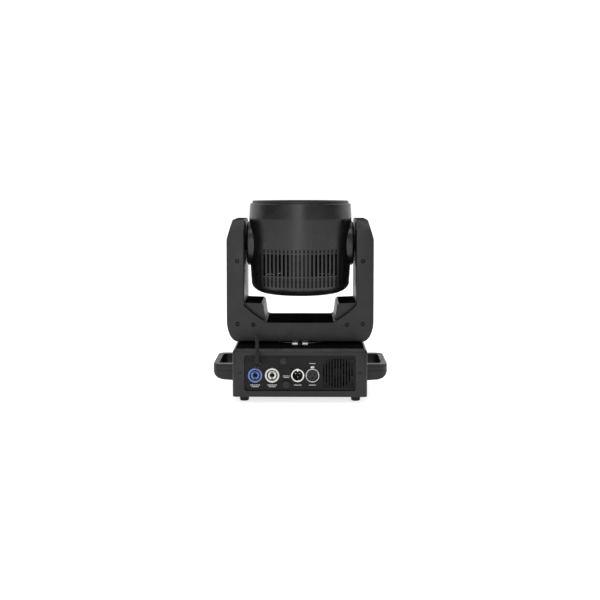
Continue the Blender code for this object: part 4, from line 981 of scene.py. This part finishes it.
def lenses():
    low, high = ends("lens_array")
    foot, top = low.z, high.z
    dome = [(0, top), (5, top - 0.35), (9.5, top - 1.2), (13, top - 2.3), (15.2, top - 3.4), (15.4, top - 4.4),
            (15.4, foot + 1), (0, foot + 1)]
    domes = [turned(dome, 3, 5, 56, "Z", (x, y, 0)) for x, y in lens_places()]
    web = turned([(0, foot + 1.5), (72, foot + 1.5), (72, foot), (0, foot)], 0.3, 2, ROUND)
    settle(piece("lens_sheet", together(web, *domes), "lens"), "zoom", "lens", "lens_array")
    board_top = ends("led_board")[1].z
    dies = [prism(rectangle(2.1, 2.1, 0.4, 3, (x, y)), board_top - 0.2, board_top + 0.7) for x, y in lens_places()]
    settle(piece("led_dies", together(*dies), "phosphor"), "head", "board")


# ---- build

base_shell()
connector_panel()
panel_marks()
power_socket("power_inlet", "light_blue", "gap_shade_blue", "blue_plastic")
power_socket("power_outlet", "white", "shade", "white_plastic")
data_sockets()
fuse_and_cap()
antenna()
FAN_PLACE = (FAN_AT.x, ends("base_fan_frame")[0].y, FAN_AT.z)
fan("base_fan", "base", 28.0, 14.0, 11.0, "Y", FAN_PLACE, 8.0)
handle(1)
handle(-1)
feet()
display()
collar_and_lock()
yoke_cover("rear", -1)
yoke_cover("front", 1)
tilt_lock_knob()
head_barrel()
head_cap()
head_bezel()
bosses()
fan("head_fan", "head", 42.0, 18.0, 16.0, "Z", (0, 0, ends("head_fan_frame")[0].z), 14.0)
lenses()

for node_name, look, edge in (
        ("base_plate", "panel", 0.5), ("power_supply", "aluminium", 0.4), ("pan_tube", "aluminium", 0.3),
        ("pan_bearing", "polished", 0.3), ("tilt_bearing_left", "polished", 0.3),
        ("tilt_bearing_right", "polished", 0.3), ("pan_motor", "screw", 0.8), ("tilt_motor", "screw", 0.8),
        ("pan_motor_pulley", "aluminium", 0.3), ("tilt_motor_pulley", "aluminium", 0.3), ("pan_belt", "rubber", 0.2),
        ("tilt_belt", "rubber", 0.2), ("yoke_frame", "paint", 0.9), ("tilt_shaft_left", "steel", 0.4),
        ("tilt_shaft_right", "steel", 0.4), ("heat_sink", "sink", 0.3), ("led_board", "board", 0.2),
        ("zoom_frame", "steel", 0.2), ("zoom_screw", "steel", 0.3), ("zoom_plate", "plastic", 0.3)):
    dress(node_name, look, edge)


# ---- stage, light and camera


def flat_white(name, brightness):
    """A pale floor that glows a little, so that it stays even."""
    g = Graph(name)
    g.shader.inputs["Emission Color"].default_value = (1, 1, 1, 1)
    g.shader.inputs["Emission Strength"].default_value = 0.75
    g.shader.inputs["Roughness"].default_value = 0.9
    g.shader.inputs["Specular IOR Level"].default_value = 0.1
    tone = g.ranged(g.noise(3.0), 0, 1)
    g.join(g.blended(tone, (brightness,) * 3, (brightness * 0.995,) * 3), g.shader, "Base Color")
    return g.material


def stage():
    bm = bmesh.new()
    bmesh.ops.create_grid(bm, x_segments=1, y_segments=1, size=8000.0)
    floor = linked("floor", to_mesh(bm))
    floor.data.materials.append(flat_white("pale_floor", 0.93))


def area_light(name, at, target, size, power, height=None):
    data = bpy.data.lights.new(name, "AREA")
    data.shape = "RECTANGLE"
    data.size, data.size_y, data.energy = size, height or size, power
    lamp = linked(name, data)
    lamp.location = at
    lamp.rotation_euler = (Vector(target) - Vector(at)).to_track_quat("-Z", "Y").to_euler()


def sky():
    """By direction along Y: soft light from the front, dark at the sides and above, white behind."""
    world = bpy.data.worlds.new("studio")
    bpy.context.scene.world = world
    world.use_nodes = True
    nodes, links = world.node_tree.nodes, world.node_tree.links
    place = nodes.new("ShaderNodeTexCoord")
    split = nodes.new("ShaderNodeSeparateXYZ")
    spread = nodes.new("ShaderNodeMapRange")
    ramp = nodes.new("ShaderNodeValToRGB")
    links.new(place.outputs["Generated"], split.inputs["Vector"])
    links.new(split.outputs["Y"], spread.inputs["Value"])
    spread.inputs["From Min"].default_value = -1.0
    links.new(spread.outputs["Result"], ramp.inputs["Fac"])
    front, around, behind = 0.27, 0.02, 1.05
    stops = ((0.0, front), (0.2, front), (0.34, around), (0.54, around), (0.62, behind), (1.0, behind))
    for k, (place_at, level) in enumerate(stops):
        stop = ramp.color_ramp.elements[k] if k < 2 else ramp.color_ramp.elements.new(place_at)
        stop.position = place_at
        stop.color = (level, level, level, 1)
    links.new(ramp.outputs["Color"], nodes["Background"].inputs["Color"])


def camera():
    data = bpy.data.cameras.new("camera")
    data.lens, data.sensor_width = 52.0, 36.0
    data.shift_x, data.shift_y = -0.001, -0.108
    lens = linked("camera", data)
    lens.location = (0.013, -1.6075, 0.3734)
    lens.rotation_euler = (math.radians(90 - 3.0), 0, math.radians(0.45))
    bpy.context.scene.camera = lens


stage()
sky()
area_light("front_left", (-0.75, -1.5, 1.1), (0, 0, 0.2), size=0.9, power=2.5)
area_light("front_strip", (-0.15, -2.2, 0.7), (0, 0, 0.2), size=0.6, power=6.0, height=1.2)
area_light("top_front", (0, -0.75, 2.1), (0, 0, 0.3), size=0.8, power=9.0)
camera()
scene = bpy.context.scene
scene.view_settings.view_transform = "Standard"
scene.view_settings.look = "None"
